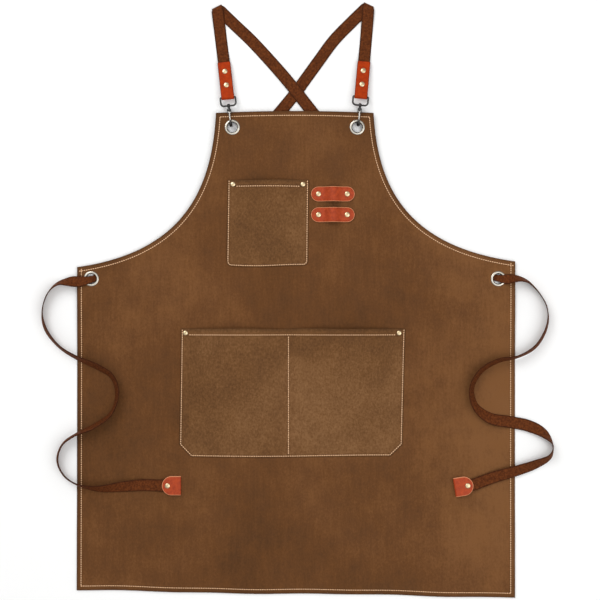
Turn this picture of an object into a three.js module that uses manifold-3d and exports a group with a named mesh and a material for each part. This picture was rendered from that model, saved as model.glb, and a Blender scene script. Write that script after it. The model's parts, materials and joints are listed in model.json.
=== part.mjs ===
// Cross-back canvas work apron, laid flat with its front up.
// Millimetres. Seen from the front, +X runs to the right and +Y from the skirt up to the bib.
// +Z points out of the cloth's front, and the floor is z = 0. Left and right are as seen.
//
// The cloth panel lies on the floor below the waist. Above it the cloth lies over the two
// shoulder straps, and at the bib's top over the rear arms of the two swivel snap hooks.
import * as THREE from 'three';
import { mergeVertices } from 'three/addons/utils/BufferGeometryUtils.js';
import Module from 'manifold-3d';

const wasm = await Module();
wasm.setup();

// ---------------------------------------------------------------- driving dimensions

const gap = 0.3;                    // clearance between pieces that rest on each other
const sides = { left: -1, right: 1 };

const cloth = 1.2;                  // waxed canvas thickness
const panelWidth = 700;             // skirt, edge to edge
const panelHeight = 765;            // bib top to skirt bottom
const bibWidth = 250;               // bib top edge
const waistDrop = 241.5;            // from the bib's top edge down to the waist corners
const armholeTop = { out: 6, down: 120.5 };     // curve handle leaving the bib's corner
const armholeWaist = { in: 170, up: 24 };       // curve handle leaving the waist's corner
const seamInset = 7;                // hem stitching, in from every edge
const threadWidth = 0.8;
const threadHeight = 0.5;

const waistLift = 3.6;              // the cloth lies this high over a strap and an eyelet's back
const bibLift = 6.8;                // and this high over the snap hooks' rear arms
const waistLiftSpan = { from: -30, to: 100 };   // where the cloth rises off the floor
const bibLiftSpan = { from: 150, to: 340 };

const eyelet = { hole: 8, barrel: 0.6, flange: 12, dome: 1.1, roll: 1.0, rollHeight: 0.5 };
const eyeletWasher = 0.7;           // thickness of the ring behind the cloth
const bibEyelet = { x: 99, down: 24.5 };        // down from the bib's top edge
const waistEyelet = { inset: 27, down: 23 };    // in from the side, down from the waist corner

const rivet = { cap: 4.1, capHeight: 1.3, shaft: 1.3, foot: 3.2, footHeight: 0.6 };
const rivetSmall = { cap: 3.7, capHeight: 1.2, shaft: 1.2, foot: 2.9, footHeight: 0.6 };

const chestPocket = { x: -42.5, top: 108, width: 129, height: 137, corner: 8, rise: 8 };
const lowerPocket = { x: -4, top: 343.5, width: 357, height: 204, chamfer: 19, rise: 9 };
const lowerDivider = -10;           // x of the stitch line that splits the lower pocket
const pocketSeam = 6;               // flat strip sewn to the panel below a pocket
const pocketDividerSeam = 3;        // flat strip on each side of the divider's stitch line
const pocketHem = 10;               // turned-over band at a pocket's mouth
const pocketStitch = 3;             // pocket stitching, in from the pocket's edge
const pocketRivet = { x: 9, y: 7 }; // rivet centres, in from a pocket's top corners
const pocketFlat = pocketRivet.x + rivetSmall.cap + 0.8;    // flat strip down a pocket's side

const loop = { x: 60.3, tops: [118.6, 151.4], length: 69, width: 23.4, leather: 2 };
const loopRivetSpacing = 45.5;
const loopArch = { half: 17, rise: 7.5 };       // the free span that a pen goes under

const webbing = { width: 19, thickness: 1.5 };
const foldRadius = 1.1;             // webbing centre line round the flat shoulder fold
const skewRun = 9;                  // stretch in which cross-sections turn to the fold line

const hook = { wire: 1.6, bend: 6.8, reach: 19.8, nose: 0.5, neck: 1.8 };
const swivel = { collar: 2.2, post: 1.3, head: 2.2, headHeight: 1.2, boss: 2.8, bossLength: 3.4 };
const swivelClearance = 0.3;
const eye = { wire: 1.4, halfWidth: 12, height: 13.6, foot: 5, shoulder: 1.6 };
const gate = { wire: 1.4, pivot: 20.6, knuckle: 2.2, halfThickness: 1.0, pin: 0.6 };
const gateEar = { inner: 2.4, outer: 3.3 };     // the hook's ears, measured out from its middle
const gateSpring = { wire: 0.16, radius: 1.4, turns: 1.25 };

const tab = { leather: 1.8, width: 20.5, length: 57, rivets: [19.4, 41.5], endRise: 0.3 };
const tabWebbingStart = 9;          // webbing end, up from the eye's bar
const endTab = { leather: 1.6, width: 30, length: 28, rivet: 18.8, webbingEnd: 3.5 };

// How each snap hook and its strap tab lie: where the hook passes through the eyelet,
// measured from the eyelet's middle, and how far the whole chain leans out (degrees).
const lay = {
  left: { x: -2, y: 2, lean: 6.5 },
  right: { x: 1.5, y: 3, lean: -5.3 },
};

// ---------------------------------------------------------------- materials

const material = (name, color, roughness, metalness = 0) =>
  new THREE.MeshStandardMaterial({ name, color, roughness, metalness });

const finishes = {
  canvas: () => material('waxed canvas', 0x734b28, 0.85),
  pocket: () => material('pocket canvas', 0x7a5230, 0.9),
  thread: () => material('thread', 0xd9ab85, 0.7),
  webbing: () => material('webbing', 0x5a3719, 0.85),
  leather: () => material('leather', 0xc84b2d, 0.5),
  brass: () => material('pale brass', 0xd8c79a, 0.3, 1),
  nickel: () => material('nickel', 0xd5d3cf, 0.25, 1),
  gunmetal: () => material('gunmetal', 0x4a4844, 0.35, 1),
  spring: () => material('spring steel', 0x9a9a9a, 0.3, 1),
};

const apron = new THREE.Group();

function addPiece(name, geometry, finish, parent = apron) {
  const mesh = new THREE.Mesh(geometry, finishes[finish]());
  mesh.name = name;
  parent.add(mesh);
  return mesh;
}

// ---------------------------------------------------------------- solids

function toSolid(geometry) {
  const bare = geometry.clone();
  bare.deleteAttribute('normal');
  bare.deleteAttribute('uv');
  const merged = mergeVertices(bare, 1e-3);
  const vertProperties = new Float32Array(merged.attributes.position.array);
  const triVerts = new Uint32Array(merged.index.array);
  return new wasm.Manifold(new wasm.Mesh({ numProp: 3, vertProperties, triVerts }));
}

function fromSolid(solid) {
  const { vertProperties, triVerts } = solid.getMesh();
  const geometry = new THREE.BufferGeometry();
  geometry.setAttribute('position', new THREE.BufferAttribute(vertProperties, 3));
  geometry.setIndex(new THREE.BufferAttribute(triVerts, 1));
  return geometry;
}

const join = (...geometries) =>
  fromSolid(geometries.map(toSolid).reduce((whole, next) => whole.add(next)));
const cut = (geometry, ...tools) =>
  fromSolid(tools.map(toSolid).reduce((whole, tool) => whole.subtract(tool), toSolid(geometry)));
const overlapOf = (a, b) => fromSolid(toSolid(a).intersect(toSolid(b)));

// A cylinder standing along Z, from z = low to z = high.
function post(radius, low, high, x = 0, y = 0, segments = 12) {
  const geometry = new THREE.CylinderGeometry(radius, radius, high - low, segments);
  geometry.rotateX(Math.PI / 2);
  return geometry.translate(x, y, (low + high) / 2);
}

function extrudeUp(points, low, high) {
  const shape = new THREE.Shape(points);
  const geometry = new THREE.ExtrudeGeometry(shape, { depth: high - low, bevelEnabled: false });
  return geometry.translate(0, 0, low);
}

// A profile drawn in the YZ plane and extruded across X, centred on x = 0.
function extrudeAcross(profile, width) {
  const shape = new THREE.Shape(profile.map(([y, z]) => new THREE.Vector2(y, z)));
  const geometry = new THREE.ExtrudeGeometry(shape, { depth: width, bevelEnabled: false });
  const axes = new THREE.Matrix4().makeBasis(
    new THREE.Vector3(0, 1, 0), new THREE.Vector3(0, 0, 1), new THREE.Vector3(1, 0, 0));
  return geometry.applyMatrix4(axes).translate(-width / 2, 0, 0);
}

function lathe(profile, segments) {
  const points = profile.map(([r, z]) => new THREE.Vector2(r, z));
  const geometry = new THREE.LatheGeometry(points, segments);
  return geometry.rotateX(Math.PI / 2);
}

// A round wire along a curve.
function wireAlong(curve, radius, steps, segments = 8) {
  const section = new THREE.Shape();
  for (let i = 0; i < segments; i += 1) {
    const angle = (2 * Math.PI * (i + 0.5)) / segments;
    const point = [radius * Math.cos(angle), radius * Math.sin(angle)];
    if (i === 0) section.moveTo(...point);
    else section.lineTo(...point);
  }
  return new THREE.ExtrudeGeometry(section, { steps, extrudePath: curve, bevelEnabled: false });
}

// A solid strip through a list of stations. Each has a centre, a vector to its right-hand
// edge and a vector to its upper face.
function strip(stations) {
  const corners = [[1, -1], [1, 1], [-1, 1], [-1, -1]];
  const positions = [];
  for (const { centre, side, up } of stations) {
    for (const [across, above] of corners) {
      const point = centre.clone().addScaledVector(side, across).addScaledVector(up, above);
      positions.push(point.x, point.y, point.z);
    }
  }
  const index = [];
  const n = corners.length;
  for (let ring = 0; ring < stations.length - 1; ring += 1) {
    for (let i = 0; i < n; i += 1) {
      const a = ring * n + i;
      const b = ring * n + ((i + 1) % n);
      index.push(a, a + n, b, b, a + n, b + n);
    }
  }
  const last = (stations.length - 1) * n;
  for (let i = 1; i < n - 1; i += 1) {
    index.push(0, i, i + 1);
    index.push(last, last + i + 1, last + i);
  }
  const geometry = new THREE.BufferGeometry();
  geometry.setAttribute('position', new THREE.Float32BufferAttribute(positions, 3));
  geometry.setIndex(index);
  return geometry;
}

// ---------------------------------------------------------------- how the cloth lies

const top = panelHeight / 2;
const bottom = -panelHeight / 2;
const waist = top - waistDrop;
const fromTop = (distance) => top - distance;

const smooth = (value, { from, to }) => THREE.MathUtils.smoothstep(value, from, to);
const underside = (y) =>
  waistLift * smooth(y, waistLiftSpan) + (bibLift - waistLift) * smooth(y, bibLiftSpan);
const clothTop = (y) => underside(y) + cloth;

// The panel's right-hand edge, from the bib's corner down to the skirt's corner.
function rightEdge() {
  const bib = new THREE.Vector2(bibWidth / 2, top);
  const corner = new THREE.Vector2(panelWidth / 2, waist);
  const armhole = new THREE.CubicBezierCurve(
    bib,
    new THREE.Vector2(bib.x + armholeTop.out, bib.y - armholeTop.down),
    new THREE.Vector2(corner.x - armholeWaist.in, corner.y + armholeWaist.up),
    corner,
  );
  return [...armhole.getPoints(16), new THREE.Vector2(panelWidth / 2, bottom)];
}

function panelOutline() {
  const right = rightEdge();
  const left = right.map((point) => new THREE.Vector2(-point.x, point.y)).reverse();
  return [...right, ...left];
}

// The outline moved inwards, its corners mitred. The outline runs clockwise.
function insetLine(outline, inset, closed = true) {
  const n = outline.length;
  return outline.map((point, i) => {
    const before = outline[closed ? (i + n - 1) % n : Math.max(i - 1, 0)];
    const after = outline[closed ? (i + 1) % n : Math.min(i + 1, n - 1)];
    const into = point.clone().sub(before);
    const out = after.clone().sub(point);
    if (into.lengthSq() === 0) into.copy(out);
    if (out.lengthSq() === 0) out.copy(into);
    const a = new THREE.Vector2(into.y, -into.x).normalize();
    const b = new THREE.Vector2(out.y, -out.x).normalize();
    const mitre = a.clone().add(b).normalize();
    return point.clone().addScaledVector(mitre, inset / mitre.dot(a));
  });
}

// A row of stitching along a line of points, laid on the surface whose height is given.
function stitching(line, surface, spacing = 45) {
  const points = [];
  for (let i = 0; i < line.length - 1; i += 1) {
    const pieces = Math.max(1, Math.ceil(line[i].distanceTo(line[i + 1]) / spacing));
    for (let k = 0; k < pieces; k += 1) points.push(line[i].clone().lerp(line[i + 1], k / pieces));
  }
  points.push(line[line.length - 1].clone());
  const stations = points.map((point, i) => {
    const into = point.clone().sub(points[Math.max(i - 1, 0)]).normalize();
    const out = points[Math.min(i + 1, points.length - 1)].clone().sub(point).normalize();
    const along = into.clone().add(out).normalize();
    const mitre = Math.max(along.dot(i > 0 ? into : out), 0.5);
    const side = new THREE.Vector3(along.y, -along.x, 0).multiplyScalar(threadWidth / 2 / mitre);
    const z = surface(point.x, point.y) + gap + threadHeight / 2;
    return {
      centre: new THREE.Vector3(point.x, point.y, z),
      side,
      up: new THREE.Vector3(0, 0, threadHeight / 2),
    };
  });
  return strip(stations);
}

// ---------------------------------------------------------------- rivets and eyelets

const bibEyelets = Object.entries(sides).map(([side, sign]) =>
  ({ name: `bib_eyelet_${side}`, x: sign * bibEyelet.x, y: fromTop(bibEyelet.down) }));
const waistEyelets = Object.entries(sides).map(([side, sign]) => ({
  name: `waist_eyelet_${side}`,
  x: sign * (panelWidth / 2 - waistEyelet.inset),
  y: waist - waistEyelet.down,
}));
const eyelets = [...bibEyelets, ...waistEyelets];

// A tubular rivet through layers that lie between z = low and z = high.
function rivetGeometry({ cap, capHeight, shaft, foot, footHeight }, low, high) {
  const capBase = high + gap;
  const footTop = low - gap;
  return lathe([
    [0, footTop - footHeight], [foot, footTop - footHeight], [foot, footTop], [shaft, footTop],
    [shaft, capBase], [cap, capBase], [cap * 0.93, capBase + capHeight * 0.45],
    [cap * 0.6, capBase + capHeight * 0.9], [0, capBase + capHeight],
  ], 10);
}

const rivetHole = ({ shaft }, x, y) => post(shaft + gap, -50, 50, x, y, 10);

// A rolled eyelet through the cloth, and the flat ring behind that it is rolled over.
function addEyelet({ name, x, y }) {
  const barrelOuter = eyelet.hole + eyelet.barrel;
  const clothLow = underside(y);
  const flangeBase = clothTop(y) + gap;
  const flangeTop = flangeBase + eyelet.dome;
  const washerLow = clothLow - gap - eyeletWasher;
  const rollTop = washerLow - gap;
  const rollLow = rollTop - eyelet.rollHeight;
  const ring = lathe([
    [eyelet.hole, rollLow], [barrelOuter + eyelet.roll, rollLow],
    [barrelOuter + eyelet.roll, rollTop], [barrelOuter, rollTop], [barrelOuter, flangeBase],
    [eyelet.flange, flangeBase], [eyelet.flange - 0.8, flangeBase + eyelet.dome * 0.8],
    [eyelet.flange - 2.2, flangeTop], [eyelet.hole, flangeTop - 0.6], [eyelet.hole, rollLow],
  ], 16);
  addPiece(name, ring.translate(x, y, 0), 'nickel');
  const washer = lathe([
    [barrelOuter + gap, washerLow], [eyelet.flange, washerLow],
    [eyelet.flange, clothLow - gap], [barrelOuter + gap, clothLow - gap],
    [barrelOuter + gap, washerLow],
  ], 16);
  addPiece(`${name}_washer`, washer.translate(x, y, 0), 'nickel');
}

// ---------------------------------------------------------------- pockets

// The space under a pocket compartment: none along the seams, most at the mouth.
function bulge(x, y, { left, right, low, high, rise }) {
  const across = (2 * x - left - right) / (right - left);
  const along = (y - low) / (high - low);
  if (Math.abs(across) >= 1 || along <= 0) return 0;
  return rise * (1 - across * across) * smooth(along, { from: 0, to: 0.75 });
}

function pocketSpaces(pocket, divider = null) {
  const high = fromTop(pocket.top);
  const low = high - pocket.height + pocketSeam;
  const left = pocket.x - pocket.width / 2 + pocketFlat;
  const right = pocket.x + pocket.width / 2 - pocketFlat;
  const space = (from, to) => ({ left: from, right: to, low, high, rise: pocket.rise });
  if (divider === null) return [space(left, right)];
  return [space(left, divider - pocketDividerSeam), space(divider + pocketDividerSeam, right)];
}

// Where a pocket's sheet is creased from side to side and from bottom to top.
function pocketGrid(pocket, spaces, columns, rows) {
  const between = (low, high, count) =>
    Array.from({ length: count + 1 }, (_, i) => THREE.MathUtils.lerp(low, high, i / count));
  const { low, high } = spaces[0];
  return {
    xs: [
      pocket.x - pocket.width / 2,
      ...spaces.flatMap(({ left, right }) => between(left, right, columns)),
      pocket.x + pocket.width / 2,
    ],
    ys: [high - pocket.height, ...between(low, high, rows)],
  };
}

const pocketFloor = (spaces) => (x, y) =>
  clothTop(y) + gap + spaces.reduce((sum, space) => sum + bulge(x, y, space), 0);

// A pocket front: a sheet raised over its compartments, trimmed to its outline.
function pocketGeometry(spaces, { xs, ys }, outline, rivets) {
  const columns = xs.length - 1;
  const rows = ys.length - 1;
  const sheet = new THREE.BoxGeometry(columns, rows, cloth, columns, rows, 1);
  sheet.translate(columns / 2, rows / 2, cloth / 2);
  const floor = pocketFloor(spaces);
  const position = sheet.attributes.position;
  for (let i = 0; i < position.count; i += 1) {
    const x = xs[Math.round(position.getX(i))];
    const y = ys[Math.round(position.getY(i))];
    position.setXYZ(i, x, y, position.getZ(i) + floor(x, y));
  }
  const trimmed = overlapOf(sheet, extrudeUp(outline, -5, 60));
  return cut(trimmed, ...rivets.map(({ x, y }) => rivetHole(rivetSmall, x, y)));
}

const pocketRivets = (pocket) => Object.entries(sides).map(([side, sign]) => ({
  side,
  x: pocket.x + sign * (pocket.width / 2 - pocketRivet.x),
  y: fromTop(pocket.top) - pocketRivet.y,
}));

function chestOutline() {
  const { x, width, height, corner } = chestPocket;
  const high = fromTop(chestPocket.top);
  const low = high - height;
  const shape = new THREE.Shape();
  shape.moveTo(x - width / 2, high);
  shape.lineTo(x + width / 2, high);
  shape.lineTo(x + width / 2, low + corner);
  shape.absarc(x + width / 2 - corner, low + corner, corner, 0, -Math.PI / 2, true);
  shape.lineTo(x - width / 2 + corner, low);
  shape.absarc(x - width / 2 + corner, low + corner, corner, -Math.PI / 2, -Math.PI, true);
  return shape.getPoints(4);
}

function lowerOutline() {
  const { x, width, height, chamfer } = lowerPocket;
  const high = fromTop(lowerPocket.top);
  const low = high - height;
  return [
    [x - width / 2, high], [x + width / 2, high], [x + width / 2, low + chamfer],
    [x + width / 2 - chamfer, low], [x - width / 2 + chamfer, low], [x - width / 2, low + chamfer],
  ].map(([px, py]) => new THREE.Vector2(px, py));
}

// The seam runs down one side, along the bottom and up the other, in from the edge.
function pocketSeamLine(outline, pocket) {
  const high = fromTop(pocket.top);
  const inset = insetLine(outline, pocketStitch);
  const below = inset.filter((point) => point.y < high - pocketStitch - 1);
  const start = new THREE.Vector2(pocket.x + pocket.width / 2 - pocketStitch, high - 1);
  const end = new THREE.Vector2(pocket.x - pocket.width / 2 + pocketStitch, high - 1);
  return [start, ...below, end];
}

// The hem's stitching runs between the two rivets.
function pocketHemLine(pocket, rivets, { xs }) {
  const y = fromTop(pocket.top) - pocketHem;
  const from = rivets[0].x + rivetSmall.cap + gap;
  const to = rivets[1].x - rivetSmall.cap - gap;
  const creases = xs.filter((x) => x > from + 1 && x < to - 1);
  return [from, ...creases, to].map((x) => new THREE.Vector2(x, y));
}

// ---------------------------------------------------------------- panel

const chestSpaces = pocketSpaces(chestPocket);
const lowerSpaces = pocketSpaces(lowerPocket, lowerDivider);
const chestRivets = pocketRivets(chestPocket);
const lowerRivets = pocketRivets(lowerPocket);
const loopRivets = loop.tops.flatMap((drop, row) => Object.entries(sides).map(([side, sign]) => ({
  name: `${row === 0 ? 'upper' : 'lower'}_loop_rivet_${side}`,
  x: loop.x + (sign * loopRivetSpacing) / 2,
  y: fromTop(drop + loop.width / 2),
})));

function addPanel() {
  const steps = 22;
  const heights = Array.from({ length: steps + 1 }, (_, i) =>
    THREE.MathUtils.lerp(bottom - 5, top + 5, i / steps));
  const profile = [
    ...heights.map((y) => [y, underside(y)]),
    ...heights.reverse().map((y) => [y, clothTop(y)]),
  ];
  const sheet = overlapOf(extrudeAcross(profile, panelWidth + 20), extrudeUp(panelOutline(), -5, 60));
  const eyeletHoles = eyelets.map(({ x, y }) =>
    post(eyelet.hole + eyelet.barrel + gap, -50, 50, x, y, 16));
  const rivetHoles = [
    ...[...chestRivets, ...lowerRivets].map(({ x, y }) => rivetHole(rivetSmall, x, y)),
    ...loopRivets.map(({ x, y }) => rivetHole(rivet, x, y)),
  ];
  addPiece('apron_panel', cut(sheet, ...eyeletHoles, ...rivetHoles), 'canvas');

  const seam = insetLine(panelOutline(), seamInset);
  const backToStart = seam[0].clone().lerp(seam[seam.length - 1], 0.02);
  addPiece('hem_thread', stitching([...seam, backToStart], (x, y) => clothTop(y)), 'thread');
}

function addPockets() {
  const list = [
    ['chest_pocket', chestPocket, chestSpaces, 8, 6, chestOutline(), chestRivets],
    ['lower_pocket', lowerPocket, lowerSpaces, 6, 6, lowerOutline(), lowerRivets],
  ];
  for (const [name, pocket, spaces, columns, rows, outline, rivets] of list) {
    const grid = pocketGrid(pocket, spaces, columns, rows);
    addPiece(name, pocketGeometry(spaces, grid, outline, rivets), 'pocket');
    const surface = (x, y) => pocketFloor(spaces)(x, y) + cloth;
    addPiece(`${name}_seam_thread`, stitching(pocketSeamLine(outline, pocket), surface), 'thread');
    addPiece(`${name}_hem_thread`, stitching(pocketHemLine(pocket, rivets, grid), surface), 'thread');
    for (const { side, x, y } of rivets) {
      const geometryOfRivet = rivetGeometry(rivetSmall, underside(y), surface(x, y));
      addPiece(`${name}_rivet_${side}`, geometryOfRivet.translate(x, y, 0), 'brass');
    }
  }
  const high = fromTop(lowerPocket.top) - pocketHem - threadWidth - gap;
  const low = fromTop(lowerPocket.top) - lowerPocket.height + pocketStitch + threadWidth + gap;
  const line = [new THREE.Vector2(lowerDivider, high), new THREE.Vector2(lowerDivider, low)];
  const surface = (x, y) => pocketFloor(lowerSpaces)(x, y) + cloth;
  addPiece('lower_pocket_divider_thread', stitching(line, surface), 'thread');
}

// Each loop is a leather strip with round ends, riveted down and arched in between.
function addLoops() {
  for (const [row, drop] of loop.tops.entries()) {
    const y = fromTop(drop + loop.width / 2);
    const seat = clothTop(y + loop.width / 2) + gap;
    const arch = (x) => (Math.abs(x) >= loopArch.half ? 0
      : loopArch.rise * Math.cos((Math.PI * x) / (2 * loopArch.half)) ** 2);
    const columns = 18;
    const strap = new THREE.BoxGeometry(loop.length, loop.width, loop.leather, columns, 1, 1);
    strap.translate(0, 0, loop.leather / 2);
    const position = strap.attributes.position;
    for (let i = 0; i < position.count; i += 1) {
      position.setZ(i, position.getZ(i) + arch(position.getX(i)));
    }
    const straight = loop.length / 2 - loop.width / 2;
    const ends = new THREE.Shape();
    ends.absarc(straight, 0, loop.width / 2, -Math.PI / 2, Math.PI / 2, false);
    ends.absarc(-straight, 0, loop.width / 2, Math.PI / 2, (3 * Math.PI) / 2, false);
    const trimmed = overlapOf(strap, extrudeUp(ends.getPoints(6), -5, 60));
    const name = row === 0 ? 'upper_loop' : 'lower_loop';
    const holes = Object.values(sides).map((sign) =>
      rivetHole(rivet, (sign * loopRivetSpacing) / 2, 0));
    addPiece(name, cut(trimmed, ...holes).translate(loop.x, y, seat), 'leather');
    for (const spot of loopRivets.filter((each) => each.name.startsWith(name))) {
      const geometry = rivetGeometry(rivet, underside(y), seat + loop.leather);
      addPiece(spot.name, geometry.translate(spot.x, spot.y, 0), 'brass');
    }
  }
}

// ---------------------------------------------------------------- swivel snap hooks

const hookAxis = hook.bend + hook.wire + 0.1;       // the swivel axis, above the floor
const collarTop = hook.reach + hook.bend + hook.wire + hook.neck;
const eyeFoot = collarTop + swivelClearance + swivel.bossLength / 2;
const eyeBar = eyeFoot + eye.height;

// Each snap hook is drawn from where its bend passes the eyelet (y = 0) up to the eye's bar,
// about its swivel axis (z = 0), with the loop standing in the YZ plane.
function snapHookGeometry() {
  const { wire, bend, reach } = hook;
  const at = (y, z) => new THREE.Vector3(0, y, z);
  const points = [at(bend + hook.nose, bend)];
  const turn = 12;
  for (let i = 0; i <= turn; i += 1) {
    const angle = (Math.PI * i) / turn;
    points.push(at(bend - bend * Math.sin(angle), bend * Math.cos(angle)));
  }
  points.push(at((bend + reach) / 2, -bend));
  for (let i = 0; i <= turn - 2; i += 1) {
    const angle = (Math.PI * i) / turn;
    points.push(at(reach + bend * Math.sin(angle), -bend * Math.cos(angle)));
  }
  const loopWire = wireAlong(new THREE.CatmullRomCurve3(points), wire, 24, 7);

  const apex = reach + bend;
  const bossTop = eyeFoot + swivel.bossLength / 2;
  const neck = lathe([
    [0, apex - 1], [swivel.collar * 0.8, apex - 1], [swivel.collar, collarTop - 0.6],
    [swivel.collar, collarTop], [swivel.post, collarTop], [swivel.post, bossTop + gap],
    [swivel.head, bossTop + gap], [swivel.head * 0.9, bossTop + gap + swivel.headHeight * 0.6],
    [swivel.head * 0.4, bossTop + gap + swivel.headHeight], [0, bossTop + gap + swivel.headHeight],
  ], 12).rotateX(-Math.PI / 2);

  const earLength = 5.4;
  const ears = Object.values(sides).map((sign) => {
    const thickness = gateEar.outer - gateEar.inner;
    const disc = new THREE.CylinderGeometry(gate.knuckle, gate.knuckle, thickness, 12);
    disc.rotateZ(Math.PI / 2).translate(0, gate.pivot, bend);
    const plate = new THREE.BoxGeometry(thickness, earLength, 3.4);
    plate.translate(0, gate.pivot + earLength / 2, bend - 0.3);
    return join(disc, plate).translate((sign * (gateEar.inner + gateEar.outer)) / 2, 0, 0);
  });
  const bridge = new THREE.BoxGeometry(2 * gateEar.outer, 2.4, 3.4);
  bridge.translate(0, gate.pivot + earLength - 1.2, bend - 0.3);
  const pinHole = new THREE.CylinderGeometry(gate.pin + gap, gate.pin + gap, 20, 10);
  pinHole.rotateZ(Math.PI / 2).translate(0, gate.pivot, bend);
  return cut(join(loopWire, neck, ...ears, bridge), pinHole);
}

function snapEyeGeometry() {
  const { halfWidth, foot, shoulder } = eye;
  const outline = new THREE.Shape();
  outline.moveTo(0, eyeFoot);
  outline.lineTo(halfWidth - foot, eyeFoot);
  outline.absarc(halfWidth - foot, eyeFoot + foot, foot, -Math.PI / 2, 0, false);
  outline.absarc(halfWidth - shoulder, eyeBar - shoulder, shoulder, 0, Math.PI / 2, false);
  outline.absarc(-halfWidth + shoulder, eyeBar - shoulder, shoulder, Math.PI / 2, Math.PI, false);
  outline.absarc(-halfWidth + foot, eyeFoot + foot, foot, Math.PI, (3 * Math.PI) / 2, false);
  outline.lineTo(0, eyeFoot);
  const centres = outline.getPoints(4).map((point) => new THREE.Vector3(point.x, point.y, 0));
  const distinct = centres.filter((point, i) =>
    i === 0 || point.distanceTo(centres[i - 1]) > 0.05);
  distinct.pop();
  const n = 7;
  const positions = [];
  for (const [k, centre] of distinct.entries()) {
    const before = distinct[(k + distinct.length - 1) % distinct.length];
    const after = distinct[(k + 1) % distinct.length];
    const into = centre.clone().sub(before).normalize();
    const along = into.clone().add(after.clone().sub(centre).normalize()).normalize();
    const side = new THREE.Vector3(along.y, -along.x, 0).divideScalar(along.dot(into));
    for (let i = 0; i < n; i += 1) {
      const angle = (2 * Math.PI * (i + 0.5)) / n;
      const point = centre.clone().addScaledVector(side, eye.wire * Math.cos(angle));
      positions.push(point.x, point.y, eye.wire * Math.sin(angle));
    }
  }
  const index = [];
  for (let ring = 0; ring < distinct.length; ring += 1) {
    const next = (ring + 1) % distinct.length;
    for (let i = 0; i < n; i += 1) {
      const j = (i + 1) % n;
      index.push(ring * n + i, next * n + i, ring * n + j);
      index.push(ring * n + j, next * n + i, next * n + j);
    }
  }
  const ring = new THREE.BufferGeometry();
  ring.setAttribute('position', new THREE.Float32BufferAttribute(positions, 3));
  ring.setIndex(index);
  const alongY = (radius, length) =>
    new THREE.CylinderGeometry(radius, radius, length, 12).translate(0, eyeFoot, 0);
  return cut(
    join(ring, alongY(swivel.boss, swivel.bossLength)),
    alongY(swivel.post + swivelClearance, swivel.bossLength * 3),
  );
}

function gateGeometry() {
  const knuckle = new THREE.CylinderGeometry(
    gate.knuckle - gap, gate.knuckle - gap, 2 * gate.halfThickness, 12);
  knuckle.rotateZ(Math.PI / 2).translate(0, gate.pivot, hook.bend);
  const tip = hook.bend + hook.nose + gap;
  const arm = new THREE.CapsuleGeometry(gate.wire, gate.pivot - tip - 2 * gate.wire, 3, 8);
  arm.translate(0, (gate.pivot + tip) / 2, hook.bend);
  const thumb = new THREE.SphereGeometry(gate.wire, 8, 6);
  thumb.scale(1, 1.6, 0.9).translate(0, tip + 4.2, hook.bend + gate.wire * 0.6);
  const bore = new THREE.CylinderGeometry(gate.pin + gap, gate.pin + gap, 20, 10);
  bore.rotateZ(Math.PI / 2).translate(0, gate.pivot, hook.bend);
  const slim = new THREE.BoxGeometry(2 * gate.halfThickness, 8, 8);
  slim.translate(0, gate.pivot, hook.bend);
  const below = new THREE.BoxGeometry(8, gate.pivot - tip - gate.knuckle - 1, 8);
  below.translate(0, (gate.pivot + tip - gate.knuckle - 1) / 2, hook.bend);
  const shank = overlapOf(arm, join(slim, below));
  return cut(join(knuckle, shank, thumb), bore);
}

function gatePinGeometry() {
  const length = 2 * gateEar.outer + 0.8;
  const pin = new THREE.CylinderGeometry(gate.pin, gate.pin, length, 10);
  return pin.rotateZ(Math.PI / 2).translate(0, gate.pivot, hook.bend);
}

// A turn of wire round the pin, between the gate and one ear.
function gateSpringGeometry() {
  const { wire, radius, turns } = gateSpring;
  const low = gate.halfThickness + gap;
  const high = gateEar.inner - gap;
  const steps = Math.round(turns * 12);
  const points = Array.from({ length: steps + 1 }, (_, i) => {
    const angle = (2 * Math.PI * turns * i) / steps;
    const x = THREE.MathUtils.lerp(low + wire, high - wire, i / steps);
    const y = gate.pivot + radius * Math.cos(angle);
    return new THREE.Vector3(x, y, hook.bend + radius * Math.sin(angle));
  });
  return wireAlong(new THREE.CatmullRomCurve3(points), wire, steps, 5);
}

// ---------------------------------------------------------------- leather tabs

const webbingSlot = webbing.thickness / 2 + gap;    // half the space between leather layers
const tabHalf = webbingSlot + tab.leather;
const barSleeve = eye.wire + gap + 0.05;            // inner radius of the fold round the bar

// A strip of leather folded round y = 0, its open end at y = length.
function foldedLeather(length, foldInner, slot, leather, width) {
  const foldOuter = foldInner + leather;
  const outer = [];
  const inner = [];
  const turn = 6;
  for (let i = 0; i <= turn; i += 1) {
    const angle = Math.PI / 2 + (Math.PI * i) / turn;
    outer.push([foldOuter * Math.cos(angle), foldOuter * Math.sin(angle)]);
    inner.push([foldInner * Math.cos(angle), foldInner * Math.sin(angle)]);
  }
  const ease = foldInner > slot ? 7 : 0.01;
  const profile = [
    [length, slot + leather], [ease, slot + leather], ...outer, [ease, -slot - leather],
    [length, -slot - leather], [length, -slot], [ease, -slot], ...inner.reverse(),
    [ease, slot], [length, slot],
  ];
  return extrudeAcross(profile, width);
}

const tabPitch = Math.asin((hookAxis - tabHalf - tab.endRise - 0.2) / tab.length);

function tabGeometry() {
  const leather = foldedLeather(tab.length, barSleeve, webbingSlot, tab.leather, tab.width);
  return cut(leather, ...tab.rivets.map((y) => rivetHole(rivet, 0, y)));
}

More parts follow.
